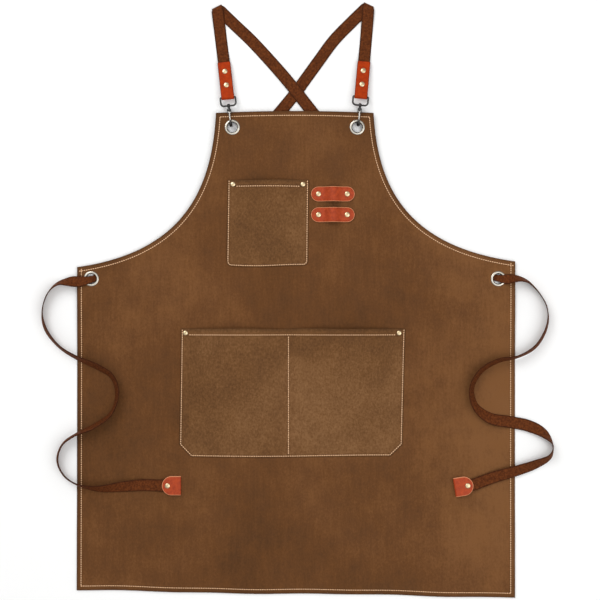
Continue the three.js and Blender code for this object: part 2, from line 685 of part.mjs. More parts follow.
// The end tab is a D: folded at y = 0, rounded where the webbing enters.
function endTabGeometry() {
  const { leather, width, length } = endTab;
  const folded = foldedLeather(length, webbingSlot, webbingSlot, leather, width);
  const round = width / 2;
  const outline = new THREE.Shape();
  outline.moveTo(-width / 2, -10);
  outline.lineTo(width / 2, -10);
  outline.lineTo(width / 2, length - round - 0.5);
  outline.absellipse(0, length - round - 0.5, width / 2, round, 0, Math.PI, false);
  const trimmed = overlapOf(folded, extrudeUp(outline.getPoints(7), -20, 20));
  return cut(trimmed, rivetHole(rivet, 0, endTab.rivet));
}

// ---------------------------------------------------------------- strap routes

// Each strap is one length of webbing: out of its leather tab, up to the shoulder, folded
// flat, down across the other strap, behind the bib to the opposite waist eyelet, out through
// it, and on in curves as the waist tie. The points are [x, y, height of what it lies on,
// roll in degrees, width, thickness]; width and thickness are the webbing's own if left out.
const routes = {
  left: {
    fold: [-123.4, 548.5],
    rise: [[-117.8, 503, 0], [-115, 480, 0]],
    fall: [
      [-97, 523, 0, 180], [-69.6, 497, 0, 180], [-38, 463, 0.3, 180], [-15, 436.5, 1.7, 180],
      [2.6, 415, 2.0, 180], [19, 394, 1.7, 180], [40, 368, 0.3, 180], [84, 316, 0, 180],
      [122, 266, 0, 180], [160, 217, 0, 180], [205, 172, 0, 180], [250, 145.5, 0, 180],
      [280, 135.5, 0, 180],
      [294, 132.5, 0, 180, 16, 1.5], [306, 125.5, 0, 180, 12, 1.6],
      [318, 120.2, 0, 180, 10, 1.6], [323.5, 118.7, 3.5, 180, 9.5, 1.6],
      [329.5, 117.6, 6.9, 180, 9.5, 1.6], [337, 117.3, 7.1, 182, 10.5, 1.6],
      [346, 118, 6.4, 185, 13, 1.6], [358, 117.6, 4.6, 198, 15, 1.5], [369, 113.5, 1.6, 228],
      [379, 105, 0, 258], [390, 91.5, 0, 262], [399, 74, 0, 262], [401, 51, 0, 255],
      [393, 27, 0, 250], [379, 8.5, 0.6, 250], [353, -5.5, 2.7, 255], [321.5, -12, 2.4, 245],
      [294, -29, 2.0, 240], [280, -56, 1.8, 240], [286, -84, 1.6, 232], [309, -103, 1.7, 205],
      [346, -110, 2.5, 183], [371, -115.5, 1.8, 190], [394.5, -127, 0, 220],
      [409, -146, 0, 262], [404, -164, 0, 240], [382, -176, 1.4, 215], [353, -186, 2.6, 200],
      [316, -197, 2.4, 186], [294, -205, 3.2, 180],
    ],
    tie: { fold: [255.7, -213], heading: 189 },
  },
  right: {
    fold: [117.3, 552],
    rise: [[113.6, 503, 0], [111.8, 482, 0]],
    fall: [
      [90, 525.5, 0, 180], [62.4, 497, 0, 180], [38, 464, 0, 180], [16.3, 434, 0, 180],
      [2.6, 415, 0, 180], [-17.9, 389.6, 0, 180], [-40, 364, 0, 180], [-84, 314, 0, 180],
      [-122, 265, 0, 180], [-160, 216, 0, 180], [-205, 171, 0, 180], [-250, 144.5, 0, 180],
      [-280, 134.5, 0, 180],
      [-294, 131.5, 0, 180, 16, 1.5], [-306, 124.5, 0, 180, 12, 1.6],
      [-318, 118.8, 0, 180, 10, 1.6], [-323.5, 116.8, 3.5, 180, 9.5, 1.6],
      [-329.5, 115.4, 6.9, 180, 9.5, 1.6], [-337, 114.2, 7.1, 180, 11, 1.6],
      [-346, 113.5, 6.4, 177, 14, 1.6], [-359, 113.2, 4.2, 166, 17, 1.5], [-371, 112, 1.4, 140],
      [-382.5, 105.5, 0, 106], [-393, 92, 0, 98], [-400, 66, 0, 102], [-394.5, 38, 0, 112],
      [-373, 10.5, 0.4, 108], [-346.3, -6.4, 2.7, 112], [-312, -21.5, 2.3, 122],
      [-289.5, -36.5, 2.0, 118], [-281, -62, 1.8, 115], [-290.5, -95, 1.7, 108],
      [-317.7, -115.6, 1.8, 112], [-346.3, -128.5, 2.5, 100], [-368, -144.5, 0.6, 100],
      [-376, -169.5, 0, 106], [-367, -192, 0.6, 106], [-346.3, -207, 2.5, 104],
      [-312, -214.5, 1.9, 125], [-278, -212, 1.8, 152], [-244, -209.5, 2.2, 172],
      [-226, -209.8, 3.1, 180],
    ],
    tie: { fold: [-183, -210.2], heading: 0 },
  },
};

const radians = THREE.MathUtils.degToRad;

// Where a shoulder tab's middle line meets the floor frame, at a distance up from the bar.
function tabFrame(side) {
  const { x, y, lean } = lay[side];
  const origin = new THREE.Group();
  origin.position.set(sides[side] * bibEyelet.x + x, fromTop(bibEyelet.down) + y, hookAxis);
  origin.rotation.z = radians(lean);
  const pitched = new THREE.Group();
  pitched.position.set(0, eyeBar, 0);
  pitched.rotation.x = -tabPitch;
  origin.add(pitched);
  return { origin, pitched };
}

function alongTab(side, distance) {
  const { origin, pitched } = tabFrame(side);
  origin.updateMatrixWorld(true);
  return pitched.localToWorld(new THREE.Vector3(0, distance, 0));
}

// A waist tie's end tab: folded at `fold`, the webbing arriving along `heading`.
const endTabHalf = webbingSlot + endTab.leather;
function endTabFrame(side) {
  const { fold, heading } = routes[side].tie;
  const group = new THREE.Group();
  const height = cloth + 2 * gap + rivet.footHeight + endTabHalf;
  group.position.set(fold[0], fold[1], height);
  group.rotation.z = radians(heading + 90);
  return group;
}

function alongEndTab(side, distance) {
  const group = endTabFrame(side);
  group.updateMatrixWorld(true);
  return group.localToWorld(new THREE.Vector3(0, distance, 0));
}

const flat = (vector) => new THREE.Vector3(vector.x, vector.y, 0).normalize();
const zAxis = new THREE.Vector3(0, 0, 1);

// Half the height of webbing that stands at a roll on what it lies on.
const standing = (roll, width, thickness) =>
  (width * Math.abs(Math.sin(radians(roll))) + thickness * Math.abs(Math.cos(radians(roll)))) / 2;

const routePoint = ([x, y, base, roll = 0, width = webbing.width, thickness = webbing.thickness]) =>
  ({ x, y, base, roll, width, thickness });

// A point of flat webbing whose middle is known.
const webbingAt = ({ x, y, z }, roll) => routePoint([x, y, z - webbing.thickness / 2, roll]);

// Stations along a smooth curve through the points.
function stationsThrough(points, perPoint) {
  const ground = new THREE.CatmullRomCurve3(
    points.map(({ x, y, base }) => new THREE.Vector3(x, y, base)), false, 'centripetal');
  const section = new THREE.CatmullRomCurve3(
    points.map(({ roll, width, thickness }) => new THREE.Vector3(roll, width, thickness)),
    false, 'centripetal');
  const count = (points.length - 1) * perPoint;
  const centreAt = (t) => {
    const { x: roll, y: width, z: thickness } = section.getPoint(t);
    const centre = ground.getPoint(t);
    return centre.setZ(Math.max(centre.z, 0) + standing(roll, width, thickness));
  };
  const small = 0.02 / count;
  return Array.from({ length: count + 1 }, (_, i) => {
    const t = i / count;
    const { x: roll, y: width, z: thickness } = section.getPoint(t);
    const along = centreAt(Math.min(t + small, 1)).sub(centreAt(Math.max(t - small, 0))).normalize();
    const level = along.clone().cross(zAxis).normalize();
    const upright = level.clone().cross(along).normalize();
    const cos = Math.cos(radians(roll));
    const sin = Math.sin(radians(roll));
    const side = level.clone().multiplyScalar(cos).addScaledVector(upright, sin);
    const up = level.clone().multiplyScalar(-sin).addScaledVector(upright, cos);
    return {
      centre: centreAt(t),
      side: side.multiplyScalar(width / 2),
      up: up.multiplyScalar(thickness / 2),
    };
  });
}

// The flat shoulder fold: the cross-section turns to the fold line, goes round the fold, and
// turns back square to the webbing that leaves underneath.
function shoulderFold(arriving, leaving, fold) {
  const line = arriving.clone().add(leaving).normalize();
  const half = webbing.width / 2;
  const lineHalf = half / Math.abs(line.clone().cross(arriving).z);
  const toRight = line.clone().multiplyScalar(line.dot(arriving.clone().cross(zAxis)) > 0 ? 1 : -1);
  const edge = toRight.clone().multiplyScalar(lineHalf);
  const middle = new THREE.Vector3(fold[0], fold[1], webbing.thickness / 2 + foldRadius);
  const outward = toRight.clone().cross(zAxis).negate();
  const halfThickness = webbing.thickness / 2;
  const turned = (run, level, sign) => {
    const square = run.clone().cross(zAxis).multiplyScalar(sign * half);
    const skew = edge.clone().sub(square);
    return [0.66, 0.33].map((share) => ({
      centre: middle.clone().addScaledVector(run, -sign * skewRun * share).setZ(level),
      side: square.clone().addScaledVector(skew, 1 - share),
      up: new THREE.Vector3(0, 0, sign * halfThickness),
    }));
  };
  const round = Array.from({ length: 9 }, (_, i) => {
    const angle = (Math.PI * i) / 8;
    const up = outward.clone().multiplyScalar(Math.sin(angle)).addScaledVector(zAxis, Math.cos(angle));
    return {
      centre: middle.clone().addScaledVector(up, foldRadius),
      side: edge.clone(),
      up: up.clone().multiplyScalar(halfThickness),
    };
  });
  const upperLevel = middle.z + foldRadius;
  const lowerLevel = middle.z - foldRadius;
  return [
    ...turned(arriving, upperLevel, 1),
    ...round,
    ...turned(leaving, lowerLevel, -1).reverse(),
  ];
}

function strapStations(side) {
  const { fold, rise, fall } = routes[side];
  const foldUpper = webbing.thickness / 2 + 2 * foldRadius;
  const foldAt = new THREE.Vector3(fold[0], fold[1], 0);
  const lastRise = new THREE.Vector3(rise[0][0], rise[0][1], 0);
  const firstFall = new THREE.Vector3(fall[0][0], fall[0][1], 0);
  const arriving = flat(foldAt.clone().sub(lastRise));
  const leaving = flat(firstFall.clone().sub(foldAt));
  const beforeFold = foldAt.clone().addScaledVector(arriving, -skewRun).setZ(foldUpper);
  const beforeThat = foldAt.clone().addScaledVector(arriving, -2 * skewRun).setZ(foldUpper - 0.3);
  const afterFold = foldAt.clone().addScaledVector(leaving, skewRun).setZ(webbing.thickness / 2);

  const up = [
    webbingAt(alongTab(side, tabWebbingStart), 0),
    webbingAt(alongTab(side, tab.length / 2), 0),
    webbingAt(alongTab(side, tab.length + 1), 0),
    ...[...rise].reverse().map(routePoint),
    webbingAt(beforeThat, 0),
    webbingAt(beforeFold, 0),
  ];
  const down = [
    webbingAt(afterFold, 180),
    ...fall.map(routePoint),
    webbingAt(alongEndTab(side, endTab.length + 1), 180),
    webbingAt(alongEndTab(side, endTab.length / 2), 180),
    webbingAt(alongEndTab(side, endTab.webbingEnd), 180),
  ];
  return [
    ...stationsThrough(up, 2),
    ...shoulderFold(arriving, leaving, fold),
    ...stationsThrough(down, 2),
  ];
}

// ---------------------------------------------------------------- straps, tabs and hooks

function addStrapSide(side) {
  const { origin, pitched } = tabFrame(side);
  apron.add(origin);
  addPiece(`snap_hook_${side}`, snapHookGeometry(), 'gunmetal', origin);
  addPiece(`snap_eye_${side}`, snapEyeGeometry(), 'gunmetal', origin);
  addPiece(`snap_gate_${side}`, gateGeometry(), 'nickel', origin);
  addPiece(`gate_pin_${side}`, gatePinGeometry(), 'nickel', origin);
  addPiece(`gate_spring_${side}`, gateSpringGeometry(), 'spring', origin);

  addPiece(`strap_tab_${side}`, tabGeometry(), 'leather', pitched);
  for (const [i, y] of tab.rivets.entries()) {
    const geometry = rivetGeometry(rivet, -tabHalf, tabHalf).translate(0, y, 0);
    addPiece(`${i === 0 ? 'lower' : 'upper'}_tab_rivet_${side}`, geometry, 'brass', pitched);
  }

  const end = endTabFrame(side);
  apron.add(end);
  addPiece(`tie_end_tab_${side}`, endTabGeometry(), 'leather', end);
  const endRivet = rivetGeometry(rivet, -endTabHalf, endTabHalf).translate(0, endTab.rivet, 0);
  addPiece(`tie_end_rivet_${side}`, endRivet, 'brass', end);

  origin.updateMatrixWorld(true);
  end.updateMatrixWorld(true);
  const hole = (y, frame) => rivetHole(rivet, 0, y).applyMatrix4(frame.matrixWorld);
  const webbingGeometry = cut(
    strip(strapStations(side)),
    ...tab.rivets.map((y) => hole(y, pitched)),
    hole(endTab.rivet, end),
  );
  addPiece(`strap_${side}`, webbingGeometry, 'webbing');
}

addPanel();
addPockets();
addLoops();
for (const each of eyelets) addEyelet(each);
for (const side of Object.keys(sides)) addStrapSide(side);

export default apron;
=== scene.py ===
# A cross-back work apron of waxed canvas, laid out flat with its front up.
# X runs to the right, and Y up the apron from the skirt to the bib. The pieces' sizes are in
# mm until their meshes are made. Materials, camera, table and lamps are in metres.
import json
import math

import bpy
import numpy as np
from mathutils import Matrix, Vector, noise
from mathutils.geometry import delaunay_2d_cdt


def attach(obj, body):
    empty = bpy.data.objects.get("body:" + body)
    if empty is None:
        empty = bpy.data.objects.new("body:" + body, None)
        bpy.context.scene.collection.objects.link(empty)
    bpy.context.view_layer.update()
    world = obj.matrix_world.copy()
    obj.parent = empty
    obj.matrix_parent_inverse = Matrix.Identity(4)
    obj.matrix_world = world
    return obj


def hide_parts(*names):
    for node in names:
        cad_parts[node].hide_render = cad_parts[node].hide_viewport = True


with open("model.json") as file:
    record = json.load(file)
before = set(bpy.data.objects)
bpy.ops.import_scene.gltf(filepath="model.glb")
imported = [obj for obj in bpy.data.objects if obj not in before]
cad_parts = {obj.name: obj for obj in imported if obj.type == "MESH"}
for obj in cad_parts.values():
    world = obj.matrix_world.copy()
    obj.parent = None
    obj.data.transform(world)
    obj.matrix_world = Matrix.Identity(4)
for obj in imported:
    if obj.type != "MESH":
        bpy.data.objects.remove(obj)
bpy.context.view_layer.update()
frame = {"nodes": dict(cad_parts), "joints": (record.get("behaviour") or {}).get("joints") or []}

# ---------------------------------------------------------------- camera
# One camera hangs straight above the laid-out apron, with the bib to the top of its frame.
# Its height follows from the width of table that it takes in.
lens_mm = 85
sensor_mm = 36
table_width = 0.954


def placed(name, data):
    """A new object for some data, put in the scene."""
    made = bpy.data.objects.new(name, data)
    bpy.context.scene.collection.objects.link(made)
    return made


camera = placed("camera", bpy.data.cameras.new("camera"))
bpy.context.scene.camera = camera
camera.data.lens = lens_mm
camera.data.sensor_width = sensor_mm
camera.location = (0.0083, 0.0843, table_width * lens_mm / sensor_mm)

# ---------------------------------------------------------------- swivel snap hooks
# Each shoulder strap ends in a small cast snap hook: a D eye for the leather tab, a swivel
# post through the eye's boss, a bent wire hook through the bib's eyelet, and a sprung gate.
# The castings are plated dark; the gate and its pin are plated bright and polished by use.
MM = 0.001
in_metres = Matrix.Scale(MM, 4)
SIDES = {"left": -1, "right": 1}
joint = {entry["name"]: entry for entry in frame["joints"]}


def new_piece(name, vertices, faces, material, body, slot, cad_nodes=()):
    """A mesh in the apron's frame, riding on a body and standing for CAD nodes."""
    mesh = bpy.data.meshes.new(name)
    mesh.from_pydata([tuple(v) for v in vertices], [], [tuple(f) for f in faces])
    mesh.update()
    mesh.polygons.foreach_set("use_smooth", [True] * len(mesh.polygons))
    mesh.set_sharp_from_angle(angle=math.radians(42))
    piece = placed(name, mesh)
    mesh.materials.append(material)
    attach(piece, body)
    if cad_nodes:
        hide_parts(*cad_nodes)
    return piece


def joined(parts):
    """Several (vertices, faces) put together as one."""
    vertices, faces = [], []
    for part_vertices, part_faces in parts:
        shift = len(vertices)
        vertices += [Vector(v) for v in part_vertices]
        faces += [[i + shift for i in face] for face in part_faces]
    return vertices, faces


def turned(profile, segments=32, closed=False):
    """A profile of (radius, height) turned about Z. It starts and ends on the axis, unless
    it is a closed ring."""
    vertices, faces, rows = [], [], []
    for radius, height in profile:
        if radius < 1e-9:
            rows.append([len(vertices)] * segments)
            vertices.append(Vector((0, 0, height)))
            continue
        rows.append(list(range(len(vertices), len(vertices) + segments)))
        for k in range(segments):
            angle = 2 * math.pi * k / segments
            vertices.append(Vector((radius * math.cos(angle), radius * math.sin(angle), height)))
    pairs = list(zip(rows, rows[1:] + rows[:1])) if closed else list(zip(rows, rows[1:]))
    for low, high in pairs:
        for k in range(segments):
            n = (k + 1) % segments
            face = [low[k], low[n], high[n], high[k]]
            face = [v for i, v in enumerate(face) if v != face[i - 1]]
            if len(face) > 2:
                faces.append(face)
    return vertices, faces


def tube_faces(rows, n, closed=False, flipped=False):
    """The faces of rows of n points, joined one after another, and over each open end."""
    faces = []
    for row in range(rows if closed else rows - 1):
        here, there = row * n, (row + 1) % rows * n
        for k in range(n):
            m = (k + 1) % n
            faces.append([here + k, here + m, there + m, there + k])
    ends = [] if closed else [list(range(n))[::-1], [(rows - 1) * n + k for k in range(n)]]
    if flipped:
        faces = [[face[0], *face[:0:-1]] for face in faces]
        ends = [end[::-1] for end in ends]
    return faces + ends


def wire(points, radius, closed=False, segments=14, breadth=None):
    """A wire along points, round unless breadth widens it at each point. An open wire has
    domed ends."""
    points = [Vector(p) for p in points]
    count = len(points)
    steps = [points[(i + 1) % count] - points[i] for i in range(count)]
    tangents = []
    for i in range(count):
        if closed:
            tangents.append((steps[i - 1].normalized() + steps[i].normalized()).normalized())
        else:
            tangents.append((steps[min(i, count - 2)] + steps[max(i - 1, 0)]).normalized())
    normal = Vector((1, 0, 0)) if breadth else tangents[0].orthogonal().normalized()
    rings = []
    for point, tangent, wide in zip(points, tangents, breadth or [1] * count):
        normal = (normal - tangent * normal.dot(tangent)).normalized()
        rings.append((point, normal * wide, tangent.cross(normal), 1.0))
    if not closed:
        domes = [(0.95, 0.31), (0.71, 0.71), (0.31, 0.95)]
        head, tail = rings[0], rings[-1]
        before = [(head[0] - tangents[0] * radius * rise, head[1], head[2], share)
                  for share, rise in reversed(domes)]
        after = [(tail[0] + tangents[-1] * radius * rise, tail[1], tail[2], share)
                 for share, rise in domes]
        rings = before + rings + after
    vertices = []
    for point, side, up, share in rings:
        for k in range(segments):
            angle = 2 * math.pi * k / segments
            offset = side * math.cos(angle) + up * math.sin(angle)
            vertices.append(point + offset * radius * share)
    return vertices, tube_faces(len(rings), segments, closed)


def moved(part, matrix):
    return [matrix @ Vector(v) for v in part[0]], part[1]


def shader_node(tree, kind, inputs, **settings):
    """A shader node. A socket given for an input is linked to it; other values are set."""
    node = tree.nodes.new("ShaderNode" + kind)
    for setting, value in settings.items():
        setattr(node, setting, value)
    fill_inputs(tree, node, inputs)
    return node


def fill_inputs(tree, node, inputs):
    for name, value in inputs.items():
        if isinstance(value, bpy.types.NodeSocket):
            tree.links.new(value, node.inputs[name])
        else:
            node.inputs[name].default_value = value


def new_material(name):
    """A material, its node tree, and coordinates that stay with each piece."""
    material = bpy.data.materials.new(name)
    material.use_nodes = True
    tree = material.node_tree
    return material, tree, shader_node(tree, "TexCoord", {}).outputs["Object"]


def set_shader(tree, inputs):
    fill_inputs(tree, tree.nodes["Principled BSDF"], inputs)


def clouded(tree, place, scale, detail, roughness=0.5):
    """Soft noise from 0 to 1."""
    return shader_node(tree, "TexNoise", {"Vector": place, "Scale": scale, "Detail": detail,
                                          "Roughness": roughness}).outputs["Fac"]


def ranged(tree, value, start, end, smooth=False):
    """A value carried from one (low, high) range to another."""
    node = shader_node(tree, "MapRange", {}, interpolation_type="SMOOTHSTEP" if smooth
                       else "LINEAR")
    fill_inputs(tree, node, {"Value": value, "From Min": start[0], "From Max": start[1],
                             "To Min": end[0], "To Max": end[1]})
    return node.outputs["Result"]


def blended(tree, share, under, over):
    """One colour laid over another by a share."""
    return shader_node(tree, "Mix", {"Factor": share, "A": under, "B": over},
                       data_type="RGBA").outputs["Result"]


def bumped(tree, height, strength, distance):
    return shader_node(tree, "Bump", {"Height": height, "Strength": strength,
                                      "Distance": distance}).outputs["Normal"]


def metal(name, color, roughness, worn, wear_color):
    """Plated metal: cloudy roughness, fine scratches, and paler metal where it is worn."""
    material, tree, place = new_material(name)
    clouds = clouded(tree, place, 420, 5)
    paling = ranged(tree, clouds, (0.62 - worn, 0.82 - worn), (0, 1))
    scratches = clouded(tree, place, 2600, 3)
    set_shader(tree, {
        "Metallic": 1,
        "Base Color": blended(tree, paling, (*color, 1), (*wear_color, 1)),
        "Roughness": ranged(tree, clouds, (0, 1), (roughness * 0.7, roughness * 1.5)),
        "Normal": bumped(tree, scratches, 0.12, 0.00004)})
    return material


gunmetal = metal("gunmetal_plate", (0.055, 0.052, 0.05), 0.34, 0.06, (0.24, 0.235, 0.225))
bright_plate = metal("bright_plate", (0.62, 0.60, 0.56), 0.22, 0.05, (0.80, 0.77, 0.70))

hook_wire = 1.6
hook_bend = 6.8
hook_reach = 19.8
hook_nose = 0.5
bend_steps = 24
collar_top = hook_reach + hook_bend + hook_wire + 1.8
boss_length = 3.4
eye_foot = collar_top + 0.3 + boss_length / 2
eye_bar = eye_foot + 13.6
gate_pivot = 20.6
ears = (2.4, 3.3)
hook_frame = {}


def upright(part):
    """A part turned about Z, laid along the hook's own Y."""
    return moved(part, Matrix.Rotation(-math.pi / 2, 4, "X"))


def rounded_plate(thickness, radius, length, height, at):
    """An ear beside the gate: round at the pin, square at the root, its edges eased."""
    outline = []
    for k in range(17):
        angle = math.pi / 2 + math.pi * k / 16
        outline.append((radius * math.cos(angle), radius * math.sin(angle)))
    outline += [(length, -height / 2 - 0.3), (length, height / 2 - 0.3)]
    ease = 0.22
    layers = [(-thickness / 2, ease), (-thickness / 2 + ease, 0), (thickness / 2 - ease, 0),
              (thickness / 2, ease)]
    vertices = []
    for x, inset in layers:
        shrink = 1 - inset / radius
        vertices += [Vector((x + at[0], y * shrink + at[1], z * shrink + at[2]))
                     for y, z in outline]
    return vertices, tube_faces(len(layers), len(outline))


for side in SIDES:
    tilt = joint[f"eye_tilt_{side}"]
    across = Vector(tilt["axis"])
    along = Vector((0, 0, 1)).cross(across)
    bar = Vector(tilt["pos_m"])
    place = Matrix((across, along, (0, 0, 1))).transposed().to_4x4()
    place.translation = bar - along * eye_bar * MM
    hook_frame[side] = place
    scaled = place @ in_metres

    path = [(0, hook_bend + hook_nose, hook_bend)]
    path += [(0, hook_bend - hook_bend * math.sin(math.pi * k / bend_steps),
              hook_bend * math.cos(math.pi * k / bend_steps)) for k in range(bend_steps + 1)]
    path += [(0, hook_bend + (hook_reach - hook_bend) * k / 6, -hook_bend) for k in range(1, 6)]
    path += [(0, hook_reach + hook_bend * math.sin(math.pi * k / bend_steps),
              -hook_bend * math.cos(math.pi * k / bend_steps)) for k in range(bend_steps - 3)]
    breadth = [1 + 0.6 * math.sin(math.pi * min(k / 36, 1)) ** 0.8 for k in range(len(path))]
    apex = hook_reach + hook_bend
    boss_top = eye_foot + boss_length / 2
    neck = upright(turned([
        (0, apex - 1), (1.5, apex - 1), (1.9, apex + 0.6), (2.2, collar_top - 0.9),
        (2.2, collar_top - 0.25), (1.95, collar_top), (1.3, collar_top), (1.3, boss_top + 0.3),
        (2.0, boss_top + 0.3), (2.2, boss_top + 0.55), (2.05, boss_top + 1.0),
        (1.4, boss_top + 1.4), (0, boss_top + 1.5)], 28))
    cheeks = [rounded_plate(ears[1] - ears[0], 2.2, 5.4, 3.4,
                            (sign * sum(ears) / 2, gate_pivot, hook_bend)) for sign in (-1, 1)]
    bridge = upright(turned([(0, 0), (2.6, 0), (3.1, 0.4), (3.1, 2.0), (2.6, 2.4), (0, 2.4)], 24))
    bridge = moved(bridge, Matrix.Translation((0, gate_pivot + 3.0, hook_bend - 0.3))
                   @ Matrix.Diagonal((1, 1, 0.55, 1)))
    body_of_hook = joined([wire(path, hook_wire, breadth=breadth), neck, *cheeks, bridge])
    new_piece(f"snap_hook_{side}_cast", *moved(body_of_hook, scaled), gunmetal, f"hook_{side}",
              "gunmetal", [f"snap_hook_{side}"])

    foot, shoulder, half_width, eye_wire = 5, 1.6, 12, 1.4
    outline = []
    for cx, cy, radius, start in [
        (half_width - foot, eye_foot + foot, foot, -90),
        (half_width - shoulder, eye_bar - shoulder, shoulder, 0),
        (-half_width + shoulder, eye_bar - shoulder, shoulder, 90),
        (-half_width + foot, eye_foot + foot, foot, 180),
    ]:
        for k in range(13):
            angle = math.radians(start + 90 * k / 12)
            outline.append((cx + radius * math.cos(angle), cy + radius * math.sin(angle), 0))
    boss = upright(turned([
        (1.6, -1.7), (2.4, -1.7), (2.8, -1.3), (2.8, 1.3), (2.4, 1.7), (1.6, 1.7)], 28, True))
    boss = moved(boss, Matrix.Translation((0, eye_foot, 0)))
    d_eye = joined([wire(outline, eye_wire, True), boss])
    new_piece(f"snap_eye_{side}_cast", *moved(d_eye, scaled), gunmetal, f"eye_{side}",
              "gunmetal", [f"snap_eye_{side}"])

    tip = hook_bend + hook_nose + 0.3 + 1.4
    arm = [(0, tip + (gate_pivot - 1.2 - tip) * k / 10, hook_bend) for k in range(11)]
    knuckle = turned([(0, -1), (1.7, -1), (1.9, -0.8), (1.9, 0.8), (1.7, 1), (0, 1)], 24)
    knuckle = moved(knuckle, Matrix.Translation((0, gate_pivot, hook_bend))
                    @ Matrix.Rotation(math.pi / 2, 4, "Y"))
    thumb = turned([(0, -2.2), (0.7, -1.9), (1.25, -1.1), (1.4, 0), (1.25, 1.1), (0.7, 1.9),
                    (0, 2.2)], 20)
    thumb = moved(upright(thumb), Matrix.Translation((0, tip + 2.8, hook_bend + 0.8)))
    lever = joined([wire(arm, 1.3), knuckle, thumb])
    new_piece(f"snap_gate_{side}_lever", *moved(lever, scaled), bright_plate, f"gate_{side}",
              "gate", [f"snap_gate_{side}"])
    for node in (f"gate_pin_{side}", f"gate_spring_{side}"):
        frame["nodes"][node].data.materials.clear()
        frame["nodes"][node].data.materials.append(bright_plate)

# ---------------------------------------------------------------- leather tabs
# The straps' ends are bound in orange-tan leather: a long tab folded round the snap hook's
# bar, its edges burnished dark, and a small D-shaped tab over each waist tie's end, left pale
# at its cut edge. A hot iron creases a line in along every edge.


def leather_strip(path, half_width, thickness, to_edge):
    """Leather swept along a path of (y, z) points, eased and creased along its edges. It gives
    the mesh and each vertex's distance from the cut edge."""
    insets = [0, 0.35, 0.95, 1.7, 2.1, 2.5, 4.2]
    outer_share = [0.35, 0.82, 1.0, 1.0, 0.74, 1.0, 1.0]
    inner_share = [0.35, 0.82, 1.0, 1.0, 1.0, 1.0, 1.0]
    lengths = [0.0]
    for a, b in zip(path, path[1:]):
        lengths.append(lengths[-1] + math.dist(a, b))
    vertices, edge = [], []
    for i, (y, z) in enumerate(path):
        before, after = path[max(i - 1, 0)], path[min(i + 1, len(path) - 1)]
        run = Vector((after[0] - before[0], after[1] - before[1])).normalized()
        normal = Vector((-run.y, run.x))
        width = half_width(lengths[i], lengths[-1])
        squeeze = min(1, width / 6)
        ends = 0.6 if i in (0, len(path) - 1) else 1
        positions = [width - inset * squeeze for inset in insets]
        row = [(x, share, 1) for x, share in zip(positions, outer_share)]
        row += [(-x, share, 1) for x, share in reversed(list(zip(positions, outer_share)))]
        row += [(-x, share, -1) for x, share in zip(positions, inner_share)]
        row += [(x, share, -1) for x, share in reversed(list(zip(positions, inner_share)))]
        for x, share, face in row:
            lift = normal * (thickness / 2 * share * ends * face)
            vertices.append(Vector((x, y + lift.x, z + lift.y)))
            edge.append(max(to_edge(x, lengths[i], lengths[-1]), 0) * MM)
    return (vertices, tube_faces(len(path), 4 * len(insets), flipped=True)), edge


def maths(tree, operation, *values):
    """One arithmetic node. Sockets are linked, and numbers are set."""
    node = tree.nodes.new("ShaderNodeMath")
    node.operation = operation
    for slot, value in zip(node.inputs, values):
        if isinstance(value, (int, float)):
            slot.default_value = value
        else:
            tree.links.new(value, slot)
    return node.outputs["Value"]


def ramped(tree, share, *stops):
    """A tone picked along stops of (position, tone)."""
    node = shader_node(tree, "ValToRGB", {"Fac": share})
    elements = node.color_ramp.elements
    for i, (position, tone) in ((0, stops[0]), (1, stops[-1])):
        elements[i].position = position
        elements[i].color = (*tone, 1)
    for position, tone in stops[1:-1]:
        elements.new(position).color = (*tone, 1)
    return node.outputs["Color"]


def kept_value(tree, name):
    """Values that each piece's own mesh carries."""
    return shader_node(tree, "Attribute", {}, attribute_name=name).outputs["Fac"]


def leather(name, color, dark, cut_edge, specular):
    """Pull-up leather: mottled grain, and another tone along the cut edge, which is read from
    each piece's own `edge` values."""
    material, tree, place = new_material(name)
    mottle = clouded(tree, place, 190, 7, 0.62)
    grain = ramped(tree, mottle, (0.32, dark), (0.66, color))
    rim = ranged(tree, kept_value(tree, "edge"), (0.0003, 0.0012), (1, 0), smooth=True)
    pores = shader_node(tree, "TexVoronoi", {"Vector": place, "Scale": 1500})
    relief = maths(tree, "MULTIPLY_ADD", mottle, 0.6, pores.outputs["Distance"])
    set_shader(tree, {
        "Specular IOR Level": specular,
        "Base Color": blended(tree, rim, grain, (*cut_edge, 1)),
        "Roughness": ranged(tree, mottle, (0, 1), (0.38, 0.62)),
        "Normal": bumped(tree, relief, 0.35, 0.00018)})
    return material


tan_leather = leather("tan_leather", (0.43, 0.057, 0.0115), (0.29, 0.034, 0.007),
                      (0.68, 0.27, 0.13), 0.2)
burnt_leather = leather("burnt_leather", (0.42, 0.040, 0.0018), (0.28, 0.023, 0.0012),
                        (0.13, 0.012, 0.002), 0.08)


def mark(piece, name, values):
    """Lays a value for each vertex on a piece's mesh, for its material to read."""
    attribute = piece.data.attributes.new(name, "FLOAT", "POINT")
    attribute.data.foreach_set("value", np.array(values, np.float32))


webbing_thickness = 1.5
webbing_slot = webbing_thickness / 2 + 0.3
tab_leather = 1.8
tab_width = 20.5
tab_length = 57
tab_rivets = (19.4, 41.5)
tab_half = webbing_slot + tab_leather
bar_sleeve = eye_wire + 0.35
hook_axis = 8.5
tab_pitch = math.asin((hook_axis - tab_half - 0.5) / tab_length)
end_leather = 1.6
end_width = 30
end_length = 28
end_rivet = 18.8
end_half = webbing_slot + end_leather
end_height = 1.2 + 2 * 0.3 + 0.6 + end_half
end_fold = {"left": ((255.7, -213), 189), "right": ((-183, -210.2), 0)}
tab_frame = {}
end_frame = {}
tab_pieces = {side: [] for side in SIDES}


